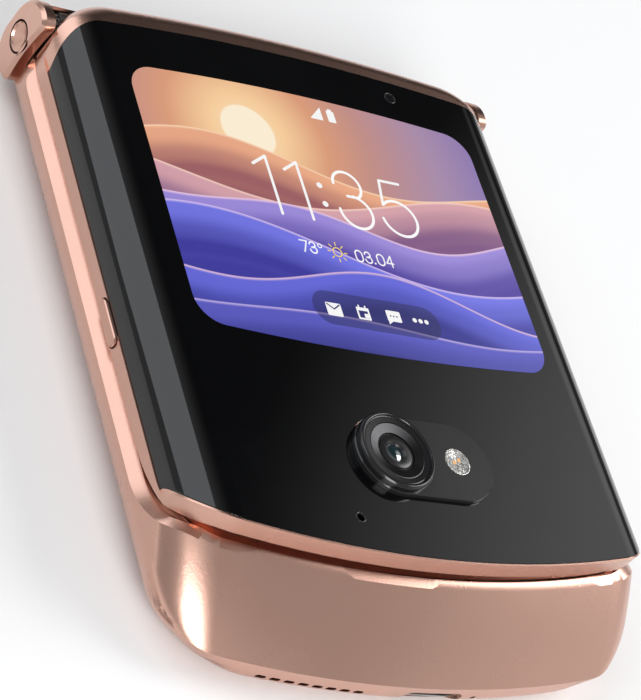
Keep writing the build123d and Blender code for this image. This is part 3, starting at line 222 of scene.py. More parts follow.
def make_groups():
    """Builds the effects that several materials share."""
    sizes = {"Grain Size": 0.00012, "Cloud Size": 0.012}
    t, given, out = new_group("Blasted Grain", sizes, ["Height", "Cloud"])
    point = object_point(t)
    t.feed(out[0], noise(t, point, given[0], 1.5))
    t.feed(out[1], noise(t, point, given[1], 3.0))

    t, given, out = new_group("Handling Marks", {"Size": 0.02, "Amount": 0.5}, ["Mask"])
    smear = noise(t, object_point(t), given[0], 4.0, 0.6)
    t.feed(out[0], t.times(t.step(smear, 0.45, 0.75), given[1]))

    t, given, out = new_group("Moulded Texture", {"Size": 0.0004}, ["Height"])
    cells = t.add("ShaderNodeTexVoronoi", {"Vector": object_point(t), "Scale": t.over(1.0, given[0])})
    t.feed(out[0], cells.outputs[0])

    make_picture_group()


def make_picture_group():
    """The outer screen's picture: dunes under a warm sky with a pale sun."""
    sizes = {"Width": 0.05486, "Height": 0.04115, "Middle X": 0.0, "Middle Y": 0.01395}
    t, given, out = new_group("Dune Picture", sizes, ["Picture"], "NodeSocketColor")
    parts = t.add("ShaderNodeSeparateXYZ", {"Vector": object_point(t)}).outputs
    u = t.plus(t.over(t.minus(parts[0], given[2]), given[0]), 0.5)
    v = t.plus(t.over(t.minus(parts[1], given[3]), given[1]), 0.5)

    # sky with a sun high on the left
    du = t.times(t.minus(u, 0.30), 1.333)
    dv = t.minus(v, 0.80)
    reach = t.math("SQRT", t.plus(t.times(du, du), t.times(dv, dv)))
    sky = t.ramp(
        reach,
        [
            (0.0, (1.0, 0.78, 0.50)),
            (0.14, (0.95, 0.62, 0.34)),
            (0.30, (0.72, 0.34, 0.20)),
            (0.48, (0.55, 0.28, 0.25)),
            (0.75, (0.40, 0.27, 0.42)),
            (1.0, (0.24, 0.18, 0.46)),
        ],
    )
    sun = t.step(reach, 0.105, 0.095)
    picture = t.mix(sun, sky, (1.0, 0.88, 0.68, 1))

    # dunes from the far one to the near one: crest height, swell, waves, phase, colours
    dunes = [
        (0.70, 0.060, 1.1, 0.4, (0.86, 0.42, 0.25), (0.34, 0.12, 0.13), (1.0, 0.74, 0.50)),
        (0.60, 0.075, 0.9, 2.3, (0.70, 0.38, 0.42), (0.22, 0.10, 0.24), (1.0, 0.70, 0.58)),
        (0.50, 0.070, 1.3, 4.4, (0.35, 0.27, 0.72), (0.09, 0.06, 0.36), (0.95, 0.66, 0.80)),
        (0.38, 0.080, 0.8, 0.9, (0.18, 0.19, 0.80), (0.05, 0.045, 0.34), (0.80, 0.62, 0.90)),
        (0.25, 0.070, 1.2, 3.2, (0.14, 0.15, 0.72), (0.035, 0.035, 0.27), (0.90, 0.62, 0.72)),
        (0.12, 0.060, 1.0, 5.3, (0.11, 0.11, 0.55), (0.03, 0.03, 0.20), (0.62, 0.50, 0.85)),
    ]
    for crest, swell, waves, phase, light, dark, edge in dunes:
        swing = t.math("SINE", t.plus(t.times(u, waves * 2 * pi), phase))
        swing_2 = t.math("SINE", t.plus(t.times(u, waves * 4.6), phase * 1.7))
        height = t.plus(t.plus(t.times(swing, swell * 0.6), crest), t.times(swing_2, swell * 0.5))
        depth = t.minus(height, v)
        ripple = t.math("SINE", t.times(t.plus(depth, t.times(u, 0.05)), 85))
        shade = t.plus(t.step(depth, 0.0, 0.17), t.times(ripple, 0.05), clamp=True)
        body = t.mix(shade, (*light, 1), (*dark, 1))
        rim = t.times(t.step(depth, 0.012, 0.0), 0.8)
        body = t.mix(rim, body, (*edge, 1))
        picture = t.mix(t.step(depth, -0.002, 0.002), picture, body)
    t.feed(out[0], picture)


def place_group(t, name, sockets=None):
    """A shared group in a material, with its own values."""
    return t.add("ShaderNodeGroup", sockets, node_tree=bpy.data.node_groups[name]).outputs


def new_material(name, sockets):
    """Principled material; returns it, its tree and its shader."""
    material = bpy.data.materials.new(name)
    material.use_nodes = True
    t = Tree(material.node_tree)
    shader = material.node_tree.nodes["Principled BSDF"]
    t.fill(shader, sockets)
    return material, t, shader


def bump(t, shader, height, strength, distance):
    """Feeds a height to the shader's normal."""
    sockets = {"Height": height, "Strength": strength, "Distance": distance}
    t.fill(shader, {"Normal": t.add("ShaderNodeBump", sockets).outputs[0]})


def shades(colour, spread):
    """A darker and a lighter shade of a colour."""
    return (*[c * (1 - spread) for c in colour], 1), (*[min(c * (1 + spread), 1) for c in colour], 1)


def metal_material(name, colour, roughness, grain=1.0):
    """Blasted and anodised metal: fine grain, faint clouds in tint and gloss."""
    material, t, shader = new_material(name, {"Metallic": 1.0})
    height, cloud = place_group(t, "Blasted Grain", {"Grain Size": 0.00028, "Cloud Size": 0.014})
    worn = place_group(t, "Handling Marks", {"Size": 0.018, "Amount": 0.5})[0]
    tint = t.mix(cloud, *shades(colour, 0.04))
    t.fill(shader, {"Base Color": tint, "Roughness": t.plus(t.times(worn, 0.04), roughness)})
    bump(t, shader, height, 0.25 * grain, 0.00003)
    return material


def turned_metal(name, colour, roughness, grain, pull, axis):
    """Metal turned about an axis, which pulls its highlights out into two fans."""
    material = metal_material(name, colour, roughness, grain)
    t = Tree(material.node_tree)
    around = t.add("ShaderNodeTangent", direction_type="RADIAL", axis=axis).outputs[0]
    t.fill(material.node_tree.nodes["Principled BSDF"], {"Anisotropic": pull, "Tangent": around})
    return material


def gloss_material(name, colour, roughness, specular=0.5, coat=0.0):
    """Polished black surface with faint handling marks."""
    sockets = {"Coat Weight": coat, "Coat Roughness": 0.03, "Specular IOR Level": specular}
    material, t, shader = new_material(name, sockets)
    marks = place_group(t, "Handling Marks", {"Size": 0.022, "Amount": 1.0})[0]
    tint = t.mix(marks, (*colour, 1), (*[c * 1.25 + 0.0006 for c in colour], 1))
    t.fill(shader, {"Base Color": tint, "Roughness": t.plus(t.times(marks, 0.025), roughness)})
    return material


def plain_material(name, colour, roughness, metallic=0.0, size=0.0004, strength=0.15):
    """Moulded plastic or plain metal with a fine surface texture."""
    material, t, shader = new_material(name, {"Metallic": metallic})
    height = place_group(t, "Moulded Texture", {"Size": size})[0]
    cloud = place_group(t, "Blasted Grain", {"Grain Size": 0.0002, "Cloud Size": 0.006})[1]
    tint = t.mix(cloud, *shades(colour, 0.15))
    t.fill(shader, {"Base Color": tint, "Roughness": t.plus(t.times(cloud, 0.08), roughness)})
    bump(t, shader, height, strength, 0.00002)
    return material


# ------------------------------------------------------------------ mesh helpers

PLACES_PER_METRE = 1e7  # to which a point's place is rounded when places are compared
ONE_PLANE = 0.99999  # cosine between the faces of one flat side
NEARLY_LEVEL = 0.98  # cosine above which a curved face takes the normal of a flat one it meets
NEARLY_PARALLEL = 0.9  # cosine above which two faces pull an edge's middle the same way
SHORTEST_EDGE = 0.00022  # that is still divided where a surface bends
FINE_EDGE = 0.0008  # above which an edge of a fine area is always divided


def centre_of(node):
    """Middle of a CAD node's box."""
    return [(a + b) / 2 for a, b in zip(*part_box(node))]


def link_piece(name, mesh, material):
    """Object of a finished mesh in the scene, with its material."""
    piece = bpy.data.objects.new(name, mesh)
    bpy.context.scene.collection.objects.link(piece)
    mesh.materials.clear()
    mesh.materials.append(material)
    return piece


def new_object(name, mesh, material, body, slot, stands_for=()):
    """Finished piece on its body, in place of the CAD nodes it stands for; its slot is not used."""
    piece = link_piece(name, mesh, material)
    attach(piece, body)
    if stands_for:
        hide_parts(*stands_for)


def finish_node(node, material, body, slot, **options):
    """Puts a rounder copy in a CAD node's place."""
    mesh = curved_copy(node, **options)
    new_object(mesh.name, mesh, material, body, slot, [node])


def from_bmesh(bm, name, angle=35, outward=True):
    """Smooth mesh from a bmesh, with edges sharper than an angle in degrees kept."""
    if outward:
        bmesh.ops.recalc_face_normals(bm, faces=bm.faces)
    mesh = bpy.data.meshes.new(name)
    bm.to_mesh(mesh)
    bm.free()
    for face in mesh.polygons:
        face.use_smooth = True
    mesh.set_sharp_from_angle(angle=radians(angle))
    return mesh


def bent_middle(a, b, sides):
    """Middle of an edge, moved out to the curved surfaces on its sides."""
    middle = (a + b) / 2
    run = b - a
    wants = []
    for na, nb in sides:
        shift = -(run.dot(na) * na - run.dot(nb) * nb) / 8
        normal = (na + nb).normalized()
        wants.append((normal, shift.dot(normal)))
    n1, d1 = wants[0]
    n2, d2 = wants[-1]
    c = n1.dot(n2)
    if abs(c) > NEARLY_PARALLEL:
        return middle + n1 * (d1 + d2) / 2
    k1 = (d1 - c * d2) / (1 - c * c)
    k2 = (d2 - c * d1) / (1 - c * c)
    return middle + n1 * k1 + n2 * k2


def place_key(point):
    """Name of a place that meeting faces share."""
    return tuple(round(v * PLACES_PER_METRE) for v in point)


def smooth_normals(source, limit):
    """One normal per vertex, shared where faces meet at less than the limit's angle."""
    sums = [Vector() for _ in source.vertices]
    flat = [True] * len(sums)
    first = {}
    for face in source.polygons:
        ring = [source.vertices[i].co for i in face.vertices]
        for n, i in enumerate(face.vertices):
            a = (ring[n - 1] - ring[n]).normalized()
            b = (ring[(n + 1) % 3] - ring[n]).normalized()
            sums[i] += face.normal * acos(max(-1.0, min(1.0, a.dot(b))))
            flat[i] = flat[i] and first.setdefault(i, face.normal.copy()).dot(face.normal) > ONE_PLANE
    own = [total.normalized() for total in sums]
    keys = [place_key(vertex.co) for vertex in source.vertices]
    meeting = {}
    for i, key in enumerate(keys):
        meeting.setdefault(key, []).append(i)
    result = []
    for i, key in enumerate(keys):
        near = [k for k in meeting[key] if own[k].dot(own[i]) > cos(limit)]
        level = [k for k in near if flat[k] and own[k].dot(own[i]) > NEARLY_LEVEL]
        if flat[i] or not near:
            result.append(own[i])
        elif level:
            result.append(own[level[0]])
        else:
            result.append(sum((own[k] for k in near), Vector()).normalized())
    return result


def ring_edges(corners):
    """Key and corner numbers of each side of a triangle, and whether it runs the key's way."""
    keys = [place_key(corner) for corner in corners]
    for i, j in ((0, 1), (1, 2), (2, 0)):
        yield (min(keys[i], keys[j]), max(keys[i], keys[j])), i, j, keys[i] < keys[j]


def edge_middles(triangles, limit, near, box):
    """Middles of the edges to divide, by their keys."""
    edges = {}
    for corners, directions in triangles:
        for key, i, j, forward in ring_edges(corners):
            a, b = (i, j) if forward else (j, i)
            edges.setdefault(key, []).append((corners[a], corners[b], directions[a], directions[b]))
    middles = {}
    for key, sides in edges.items():
        a, b = sides[0][:2]
        bent = min(na.dot(nb) for _, _, na, nb in sides) < limit
        fine = near is not None and near((a + b) / 2) and (b - a).length > FINE_EDGE
        if fine or bent and (b - a).length > SHORTEST_EDGE:
            middle = bent_middle(a, b, [side[2:] for side in sides])
            middles[key] = Vector([min(max(v, low), high) for v, low, high in zip(middle, *box)])
    return middles


def curved_copy(node, turn=radians(5), rounds=2, settle=None, crease=radians(24), near=None):
    """Copy of a CAD node whose curved faces are divided until they look round.

    An edge is divided where its ends' normals differ by more than turn, and where it lies near.
    settle moves a point and its normal on to a known surface.
    """
    source = frame["nodes"][node].data
    points = [v.co.copy() for v in source.vertices]
    normals = smooth_normals(source, crease)
    if settle:
        points, normals = zip(*[settle(*pair) for pair in zip(points, normals)])
    triangles = []
    for face in source.polygons:
        triangles.append(([points[i] for i in face.vertices], [normals[i] for i in face.vertices]))
    for _ in range(rounds):
        middles = edge_middles(triangles, cos(turn), near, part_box(node))
        result = []
        for corners, directions in triangles:
            ring = []
            for key, i, j, _ in ring_edges(corners):
                ring.append((corners[i], directions[i]))
                middle = middles.get(key)
                pair = (middle, (directions[i] + directions[j]).normalized()) if middle else None
                ring.append(settle(*pair) if pair and settle else pair)
            result += split_triangle(ring) if any(ring[1::2]) else [(corners, directions)]
        triangles = result
    places = {}
    faces = []
    loop_normals = []
    for corners, directions in triangles:
        face = [places.setdefault(place_key(c), (len(places), c))[0] for c in corners]
        if len(set(face)) == 3:
            faces.append(face)
            loop_normals += directions
    mesh = bpy.data.meshes.new(f"{node}_finished")
    mesh.from_pydata([place for _, place in places.values()], [], faces)
    for face in mesh.polygons:
        face.use_smooth = True
    mesh.normals_split_custom_set(loop_normals)
    return mesh


# the chin's front in plan, in millimetres: its bow, half width, top and rear, then its heights, with
# the end and the corner radius at each
TOE_BOW, TOE_SIDE, TOE_TOP, TOE_REAR = 150.0, 36.3, 11.45, -28.0
TOE_HEIGHTS, TOE_ENDS, TOE_CORNERS = (4.2, 8.0, 11.8), (-45.85, -41.4, -35.95), (9.0, 8.5, 8.0)
# how far its rounded underside reaches in and up, at the front and at the flank, and the run on each
# side of the corner's start over which one becomes the other
TOE_UNDER, TOE_FLANK, TOE_CHANGE = (2.6, 2.6), (8.0, 7.0), 6.0
# depths to which a point belongs to the front and to the underside, and least cosines that tell so
TOE_SKIN, TOE_DEEP, TOE_FACING, TOE_ALIKE = 0.45, 0.6, 0.3, 0.93
# depth within which a point is put exactly on the front, and height of the flat underside
TOE_SNAP, TOE_FLOOR = 0.1, 0.01
# from where and over what further depth the solid's own normals take over
TOE_OWN, TOE_FADE = 0.05, 0.55


def toe_plan(z):
    """End, corner radius and the slope of the chin's front at a height."""
    z0, z1, z2 = TOE_HEIGHTS
    end0, end1, end2 = TOE_ENDS
    if z < z0:
        return end0, TOE_CORNERS[0], 0.0
    first = (end1 - end0) / (z1 - z0)
    second = (end2 - end1) / (z2 - z1)
    bend = (second - first) / (z2 - z0)
    end = end0 + first * (z - z0) + bend * (z - z0) * (z - z1)
    corner = TOE_CORNERS[0] + (TOE_CORNERS[2] - TOE_CORNERS[0]) * (z - z0) / (z2 - z0)
    return end, corner, first + bend * (2 * z - z0 - z1)


def depth_from_edge(x, y, z):
    """Depth inside the chin's plan, way outwards, and the run along the edge from the corner."""
    end, corner, _ = toe_plan(z)
    bow_y = end + TOE_BOW
    centre_x = TOE_SIDE - corner
    centre_y = bow_y - sqrt((TOE_BOW - corner) ** 2 - centre_x**2)
    start = atan2(centre_x, bow_y - centre_y)
    turn = atan2(x - centre_x, centre_y - y)
    if turn > start and x > centre_x:
        turn = min(turn, pi / 2)
        reach = (x - centre_x) * sin(turn) + (centre_y - y) * cos(turn)
        return corner - reach, (sin(turn), -cos(turn)), corner * (turn - start)
    turn = atan2(x, bow_y - y)
    return TOE_BOW - sqrt(x**2 + (bow_y - y) ** 2), (sin(turn), -cos(turn)), TOE_BOW * (turn - start)


def by_toe(point):
    """Whether a point lies on the chin's front or near the underside of its corners."""
    front_low, front_skin, corner_depth, corner_x = 7.3, 0.4, 9.0, 21.0
    x, y, z = abs(point.x) / MM, point.y / MM, point.z / MM
    if y > TOE_REAR or z > TOE_TOP:
        return False
    depth = depth_from_edge(x, y, z)[0]
    return abs(depth) < front_skin if z > front_low else depth < corner_depth and x > corner_x


def round_toe(point, normal):
    """Smooths the chin's front and moves the underside of its corners in to one round toe."""
    x, y, z = abs(point.x) / MM, point.y / MM, point.z / MM
    if y > TOE_REAR or z > TOE_TOP:
        return point, normal
    side = copysign(1.0, point.x)
    depth, out, run = depth_from_edge(x, y, z)
    share = min(max((run + TOE_CHANGE) / (2 * TOE_CHANGE), 0.0), 1.0)
    share = share * share * (3 - 2 * share)
    across, up = (a + share * (b - a) for a, b in zip(TOE_UNDER, TOE_FLANK))
    below = max(up - max(z, 0.0), 0.0) / up
    limit = across * (1 - sqrt(max(1 - below**2, 0.0)))
    facing = normal.x * side * out[0] + normal.y * out[1] > TOE_FACING
    on_front = below == 0 and abs(depth) < TOE_SKIN and facing
    on_toe = below > 0 and depth < limit + TOE_DEEP and (facing or normal.z < -0.05)
    if not on_front and not on_toe:
        return point, normal
    push = max(limit - depth, 0.0) * MM if share > 0 and below > 0 else 0.0
    if on_front and abs(depth) < TOE_SNAP:
        push = -depth * MM
    place = Vector((point.x - side * out[0] * push, point.y - out[1] * push, point.z))
    if z < TOE_FLOOR:
        return place, normal
    level = max(across - limit, 0.0) / across**2
    sloped = z > TOE_HEIGHTS[0] - 0.02 and normal.z > 0.25
    rise = -toe_plan(max(z, TOE_HEIGHTS[0]))[2] * out[1] if sloped else 0.0
    curve = Vector((side * out[0] * level, out[1] * level, -below / up + rise * level)).normalized()
    if curve.dot(normal) < (TOE_ALIKE if on_front else TOE_FACING):
        return point, normal
    own = min(max((depth - limit - TOE_OWN) / TOE_FADE, 0.0), 1.0) if on_toe else 0.0
    return place, curve.lerp(normal, own).normalized()


def split_triangle(ring):
    """Smaller triangles from three corners with a middle or None after each."""
    middles = [i for i in (1, 3, 5) if ring[i]]
    if len(middles) == 3:
        parts = [(0, 1, 5), (1, 2, 3), (3, 4, 5), (1, 3, 5)]
    elif len(middles) == 2:
        free = [i for i in (1, 3, 5) if not ring[i]][0]
        k = [(free + n) % 6 for n in range(6)]
        parts = [(k[2], k[3], k[4]), (k[1], k[2], k[4]), (k[1], k[4], k[5])]
    else:
        k = [(middles[0] + n) % 6 for n in range(6)]
        parts = [(k[0], k[1], k[3]), (k[0], k[3], k[5])]
    return [([ring[i][0] for i in part], [ring[i][1] for i in part]) for part in parts]


def lathe(profile, centre, segments=96, closed=False):
    """bmesh turned about an upright axis from (radius, height) points in millimetres."""
    bm = bmesh.new()
    rings = []
    for r, z in profile:
        if r < 1e-6:
            rings.append([bm.verts.new((centre[0], centre[1], z * MM))])
            continue
        ring = []
        for i in range(segments):
            a = 2 * pi * i / segments
            place = (centre[0] + r * MM * cos(a), centre[1] + r * MM * sin(a), z * MM)
            ring.append(bm.verts.new(place))
        rings.append(ring)
    if closed:
        rings.append(rings[0])
    for first, second in zip(rings, rings[1:]):
        for i in range(segments):
            j = (i + 1) % segments
            corners = [first[i % len(first)], first[j % len(first)]]
            corners += [second[j % len(second)], second[i % len(second)]]
            unique = list(dict.fromkeys(corners))
            if len(unique) > 2:
                bm.faces.new(unique)
    return bm


def turned_piece(name, profile, spot, material, slot, stands_for=(), segments=128, closed=True, angle=28):
    """Piece of the lid turned from a profile about an upright axis."""
    mesh = from_bmesh(lathe(profile, spot, segments, closed), name, angle)
    new_object(name, mesh, material, "lid", slot, stands_for)


def flat_shape(outline, low, high, bm=None):
    """Closed plate from an outline of (x, y) points in metres between two heights."""
    bm = bm or bmesh.new()
    bottom, top = ([bm.verts.new((x, y, z)) for x, y in outline] for z in (low, high))
    bm.faces.new(bottom[::-1])
    bm.faces.new(top)
    for i in range(len(outline)):
        bm.faces.new((bottom[i - 1], bottom[i], top[i], top[i - 1]))
    return bm


def disc_outline(x, y, radius, count=20):
    """Round outline."""
    turns = [2 * pi * i / count for i in range(count)]
    return [(x + radius * cos(a), y + radius * sin(a)) for a in turns]


def round_box(x, y, half_width, half_height, corner, steps=6):
    """Outline of a rectangle with round corners."""
    points = []
    for i, (sx, sy) in enumerate(((1, -1), (1, 1), (-1, 1), (-1, -1))):
        centre = (x + sx * (half_width - corner), y + sy * (half_height - corner))
        points += arc_points(centre, corner, 90 * i - 90, 90 * i, steps)
    return points


def arc_points(centre, radius, start, stop, count):
    """Points on an arc, angles in degrees."""
    points = []
    for i in range(count + 1):
        a = radians(start + (stop - start) * i / count)
        points.append((centre[0] + radius * cos(a), centre[1] + radius * sin(a)))
    return points


def bowed_outline(width, low, high, low_rise, high_rise, corner, steps=14):
    """Closed outline with bowed long edges and round corners, anticlockwise from bottom left."""
    low_bow, high_bow = ((rise**2 + width**2) / (2 * rise) for rise in (low_rise, high_rise))

    def low_edge(x):
        return low + low_bow - sqrt(low_bow**2 - x**2)

    def high_edge(x):
        return high - high_bow + sqrt(high_bow**2 - x**2)

    inner = width - corner
    low_angle, high_angle = (degrees(atan2(inner, bow)) for bow in (low_bow, high_bow))
    low_y = low_edge(inner) + corner
    high_y = high_edge(inner) - corner
    places = [-inner + 2 * inner * i / steps for i in range(1, steps)]
    points = [(x, low_edge(x)) for x in places]
    points += arc_points((inner, low_y), corner, -90 + low_angle, 0, 12)
    points += arc_points((inner, high_y), corner, 0, 90 - high_angle, 12)
    points += [(-x, high_edge(x)) for x in places]
    points += arc_points((-inner, high_y), corner, 90 + high_angle, 180, 12)
    points += arc_points((-inner, low_y), corner, 180, 270 - low_angle, 12)
    return points


def stroke(bm, points, width, low, high):
    """Even line with round ends along (x, y) points, as thin plates."""
    for a, b in zip(points, points[1:]):
        run = Vector(b) - Vector(a)
        side = Vector((-run.y, run.x)).normalized() * width / 2
        corners = [Vector(a) - side, Vector(b) - side, Vector(b) + side, Vector(a) + side]
        flat_shape([tuple(c) for c in corners], low, high, bm)
    for x, y in points:
        flat_shape(disc_outline(x, y, width / 2, 12), low, high, bm)


def in_mm(points):
    """Outline given in millimetres, in metres."""
    return [(x * MM, y * MM) for x, y in points]


def draw(name, material, level, outlines, lines=()):
    """Lit piece of outlines and of lines with their widths, all in millimetres."""
    bm = bmesh.new()
    top = level + LAYER
    for outline in outlines:
        flat_shape(in_mm(outline), level, top, bm)
    for points, width in lines:
        stroke(bm, in_mm(points), width * MM, level, top)
    new_object(name, from_bmesh(bm, name), material, "lid", "outer_screen")


# thin numerals, drawn in a box 1 wide and 1.6 high
NUMERALS = {
    "0": [arc_points((0.5, 1.1), 0.5, 0, 180, 12) + arc_points((0.5, 0.5), 0.5, 180, 360, 12) + [(1.0, 1.1)]],
    "3": [
        arc_points((0.47, 1.2), 0.4, 175, -80, 16) + [(0.3, 0.83)],
        [(0.45, 0.84)] + arc_points((0.5, 0.46), 0.46, 80, -185, 18),
    ],
    "4": [[(0.75, 0.0), (0.75, 1.6), (0.0, 0.5), (1.0, 0.5)]],
    "7": [[(0.0, 1.6), (1.0, 1.6), (0.35, 0.0)]],
}


def row_tree():
    """Geometry node tree: a straight row of equal bars."""
    tree = bpy.data.node_groups.new("Row Of Bars", "GeometryNodeTree")
    kinds = {"Count": "Int", "Start": "Vector", "Step": "Vector", "Bar Size": "Vector", "Finish": "Material"}
    for label, kind in kinds.items():
        tree.interface.new_socket(label, in_out="INPUT", socket_type=f"NodeSocket{kind}")
    tree.interface.new_socket("Bars", in_out="OUTPUT", socket_type="NodeSocketGeometry")
    t = Tree(tree)
    given = t.add("NodeGroupInput").outputs
    sockets = {"Count": given["Count"], "Start Location": given["Start"], "Offset": given["Step"]}
    line = t.add("GeometryNodeMeshLine", sockets).outputs[0]
    bar = t.add("GeometryNodeMeshCube", {"Size": given["Bar Size"]}).outputs[0]
    row = t.add("GeometryNodeInstanceOnPoints", {"Points": line, "Instance": bar}).outputs[0]
    real = t.add("GeometryNodeRealizeInstances", {"Geometry": row}).outputs[0]
    bars = t.add("GeometryNodeSetMaterial", {"Geometry": real, "Material": given["Finish"]}).outputs[0]
    t.add("NodeGroupOutput", {"Bars": bars})
    return tree


def bar_row(name, body, slot, material, count, start, step, size):
    """Piece made of a row of bars; places are in millimetres."""
    tree = bpy.data.node_groups.get("Row Of Bars") or row_tree()
    carrier = bpy.data.objects.new(f"{name}_row", bpy.data.meshes.new(f"{name}_row"))
    bpy.context.scene.collection.objects.link(carrier)
    modifier = carrier.modifiers.new("Row", "NODES")
    modifier.node_group = tree
    values = {"Start": start, "Step": step, "Bar Size": size}
    values = {label: [v * MM for v in place] for label, place in values.items()}
    values.update(Count=count, Finish=material)
    for item in tree.interface.items_tree:
        if item.name in values:
            modifier[item.identifier] = values[item.name]
    view = bpy.context.evaluated_depsgraph_get()
    view.update()
    mesh = bpy.data.meshes.new_from_object(carrier.evaluated_get(view))
    bpy.data.objects.remove(carrier)
    mesh.name = name
    new_object(name, mesh, material, body, slot)


# ------------------------------------------------------------------ shells


class PHONE_OT_shells(bpy.types.Operator):
    """Finish the anodised shells, hinge cover, hinge caps and keys."""

    bl_idname = "phone.shells"
    bl_label = "Metal Shells"

    def execute(self, context):
        finish = context.scene.phone_finish
        metal = metal_material("Rose Metal", finish.metal_colour, finish.metal_roughness)
        chin = {"rounds": 4, "settle": round_toe, "near": by_toe}
        cap = {"crease": radians(12), "settle": self.sink}
        for node, body, slot, options in (
            ("base_frame", "base", "rose_metal", chin),
            ("lid_frame", "lid", "rose_metal", {}),
            ("hinge_cover", "spine", "rose_metal", {}),
            ("hinge_cap_left", "spine", "rose_metal", cap),
            ("hinge_cap_right", "spine", "rose_metal", cap),
            ("power_key", "power_button", "keys", {}),
            ("volume_key", "volume_button", "keys", {}),
        ):
            finish_node(node, metal, body, slot, **options)

        # ribs on the power key's face, without the last pitches at its ends
        low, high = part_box("power_key")
        middle = centre_of("power_key")
        pitch = 0.45
        count = int((high[1] - low[1]) / MM / pitch) - 3
        start = (low[0] / MM + 0.02, middle[1] / MM - pitch * (count - 1) / 2, middle[2] / MM)
        rib = (0.08, 0.2, 0.9)
        bar_row("power_key_ribs", "power_button", "keys", metal, count, start, (0, pitch, 0), rib)

        # turned dimples in the caps' faces: a flange, a steep lip and a cone
        turned = turned_metal("Turned Dimple", finish.metal_colour, 0.22, 0.4, 0.8, "X")
        edge = finish.dimple_radius / MM
        lip, lip_depth, cone_depth = edge - 0.12, 0.30, 0.80
        profile = [(edge + 0.34, -0.02), (edge + 0.30, 0.0), (edge, 0.0), (lip, -lip_depth)]
        profile += [(lip * (1 - i / 10), -lip_depth - cone_depth * i / 10) for i in range(1, 11)]
        for side, name in ((-1, "left"), (1, "right")):
            low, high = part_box(f"hinge_cap_{name}")
            face = side * max(abs(low[0]), abs(high[0]))
            place = (face, high[1] - finish.dimple_setback, (low[2] + high[2]) / 2)
            bm = lathe(profile[::-1], (0, 0), 96)
            bm.transform(Matrix.Translation(place) @ Matrix.Rotation(side * pi / 2, 4, "Y"))
            mesh = from_bmesh(bm, f"cap_dimple_{name}", 25, outward=False)
            new_object(mesh.name, mesh, turned, "spine", "rose_metal")
        return {"FINISHED"}

    def sink(self, point, normal):
        """Sinks the cone of a cap's dimple, to leave room for the turned one."""
        play, level_face, cone_depth, sunk = 0.00003, 0.985, 0.0009, 0.00048
        finish = bpy.context.scene.phone_finish
        low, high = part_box("hinge_cap_right")
        y = point.y - high[1] + finish.dimple_setback
        z = point.z - (low[2] + high[2]) / 2
        outside = sqrt(y**2 + z**2) > finish.dimple_radius + play
        if outside or abs(normal.x) > level_face or abs(point.x) < high[0] - cone_depth:
            return point, normal
        return Vector((point.x - copysign(sunk, point.x), point.y, point.z)), normal


# ------------------------------------------------------------------ glass


class PHONE_OT_glass(bpy.types.Operator):
    """Finish the curved outer glass."""

    bl_idname = "phone.glass"
    bl_label = "Glass"

    def execute(self, context):
        glass = gloss_material("Outer Glass", context.scene.phone_finish.glass_colour, 0.045, 0.6)
        options = {"turn": radians(3), "rounds": 3, "settle": self.settle}
        finish_node("outer_glass", glass, "lid", "cover_glass", **options)
        return {"FINISHED"}

    def settle(self, point, normal):
        """Puts a point of the outer face, and its normal, exactly on the face's curve."""
        run, drop = 6.1 * MM, 5.4 * MM
        alike, play = 0.93, 0.00008
        along = min(max((abs(point.x) - GLASS_HIGH[0] + run) / run, 0.0), 0.9995)
        rise = sqrt(1 - along**2)
        height = GLASS_HIGH[2] - drop * (1 - rise)
        curve = Vector((copysign(along / run, point.x), 0, rise / drop)).normalized()
        if curve.dot(normal) < alike or abs(height - point.z) > play:
            return point, normal
        return Vector((point.x, point.y, height)), curve


# ------------------------------------------------------------------ picture


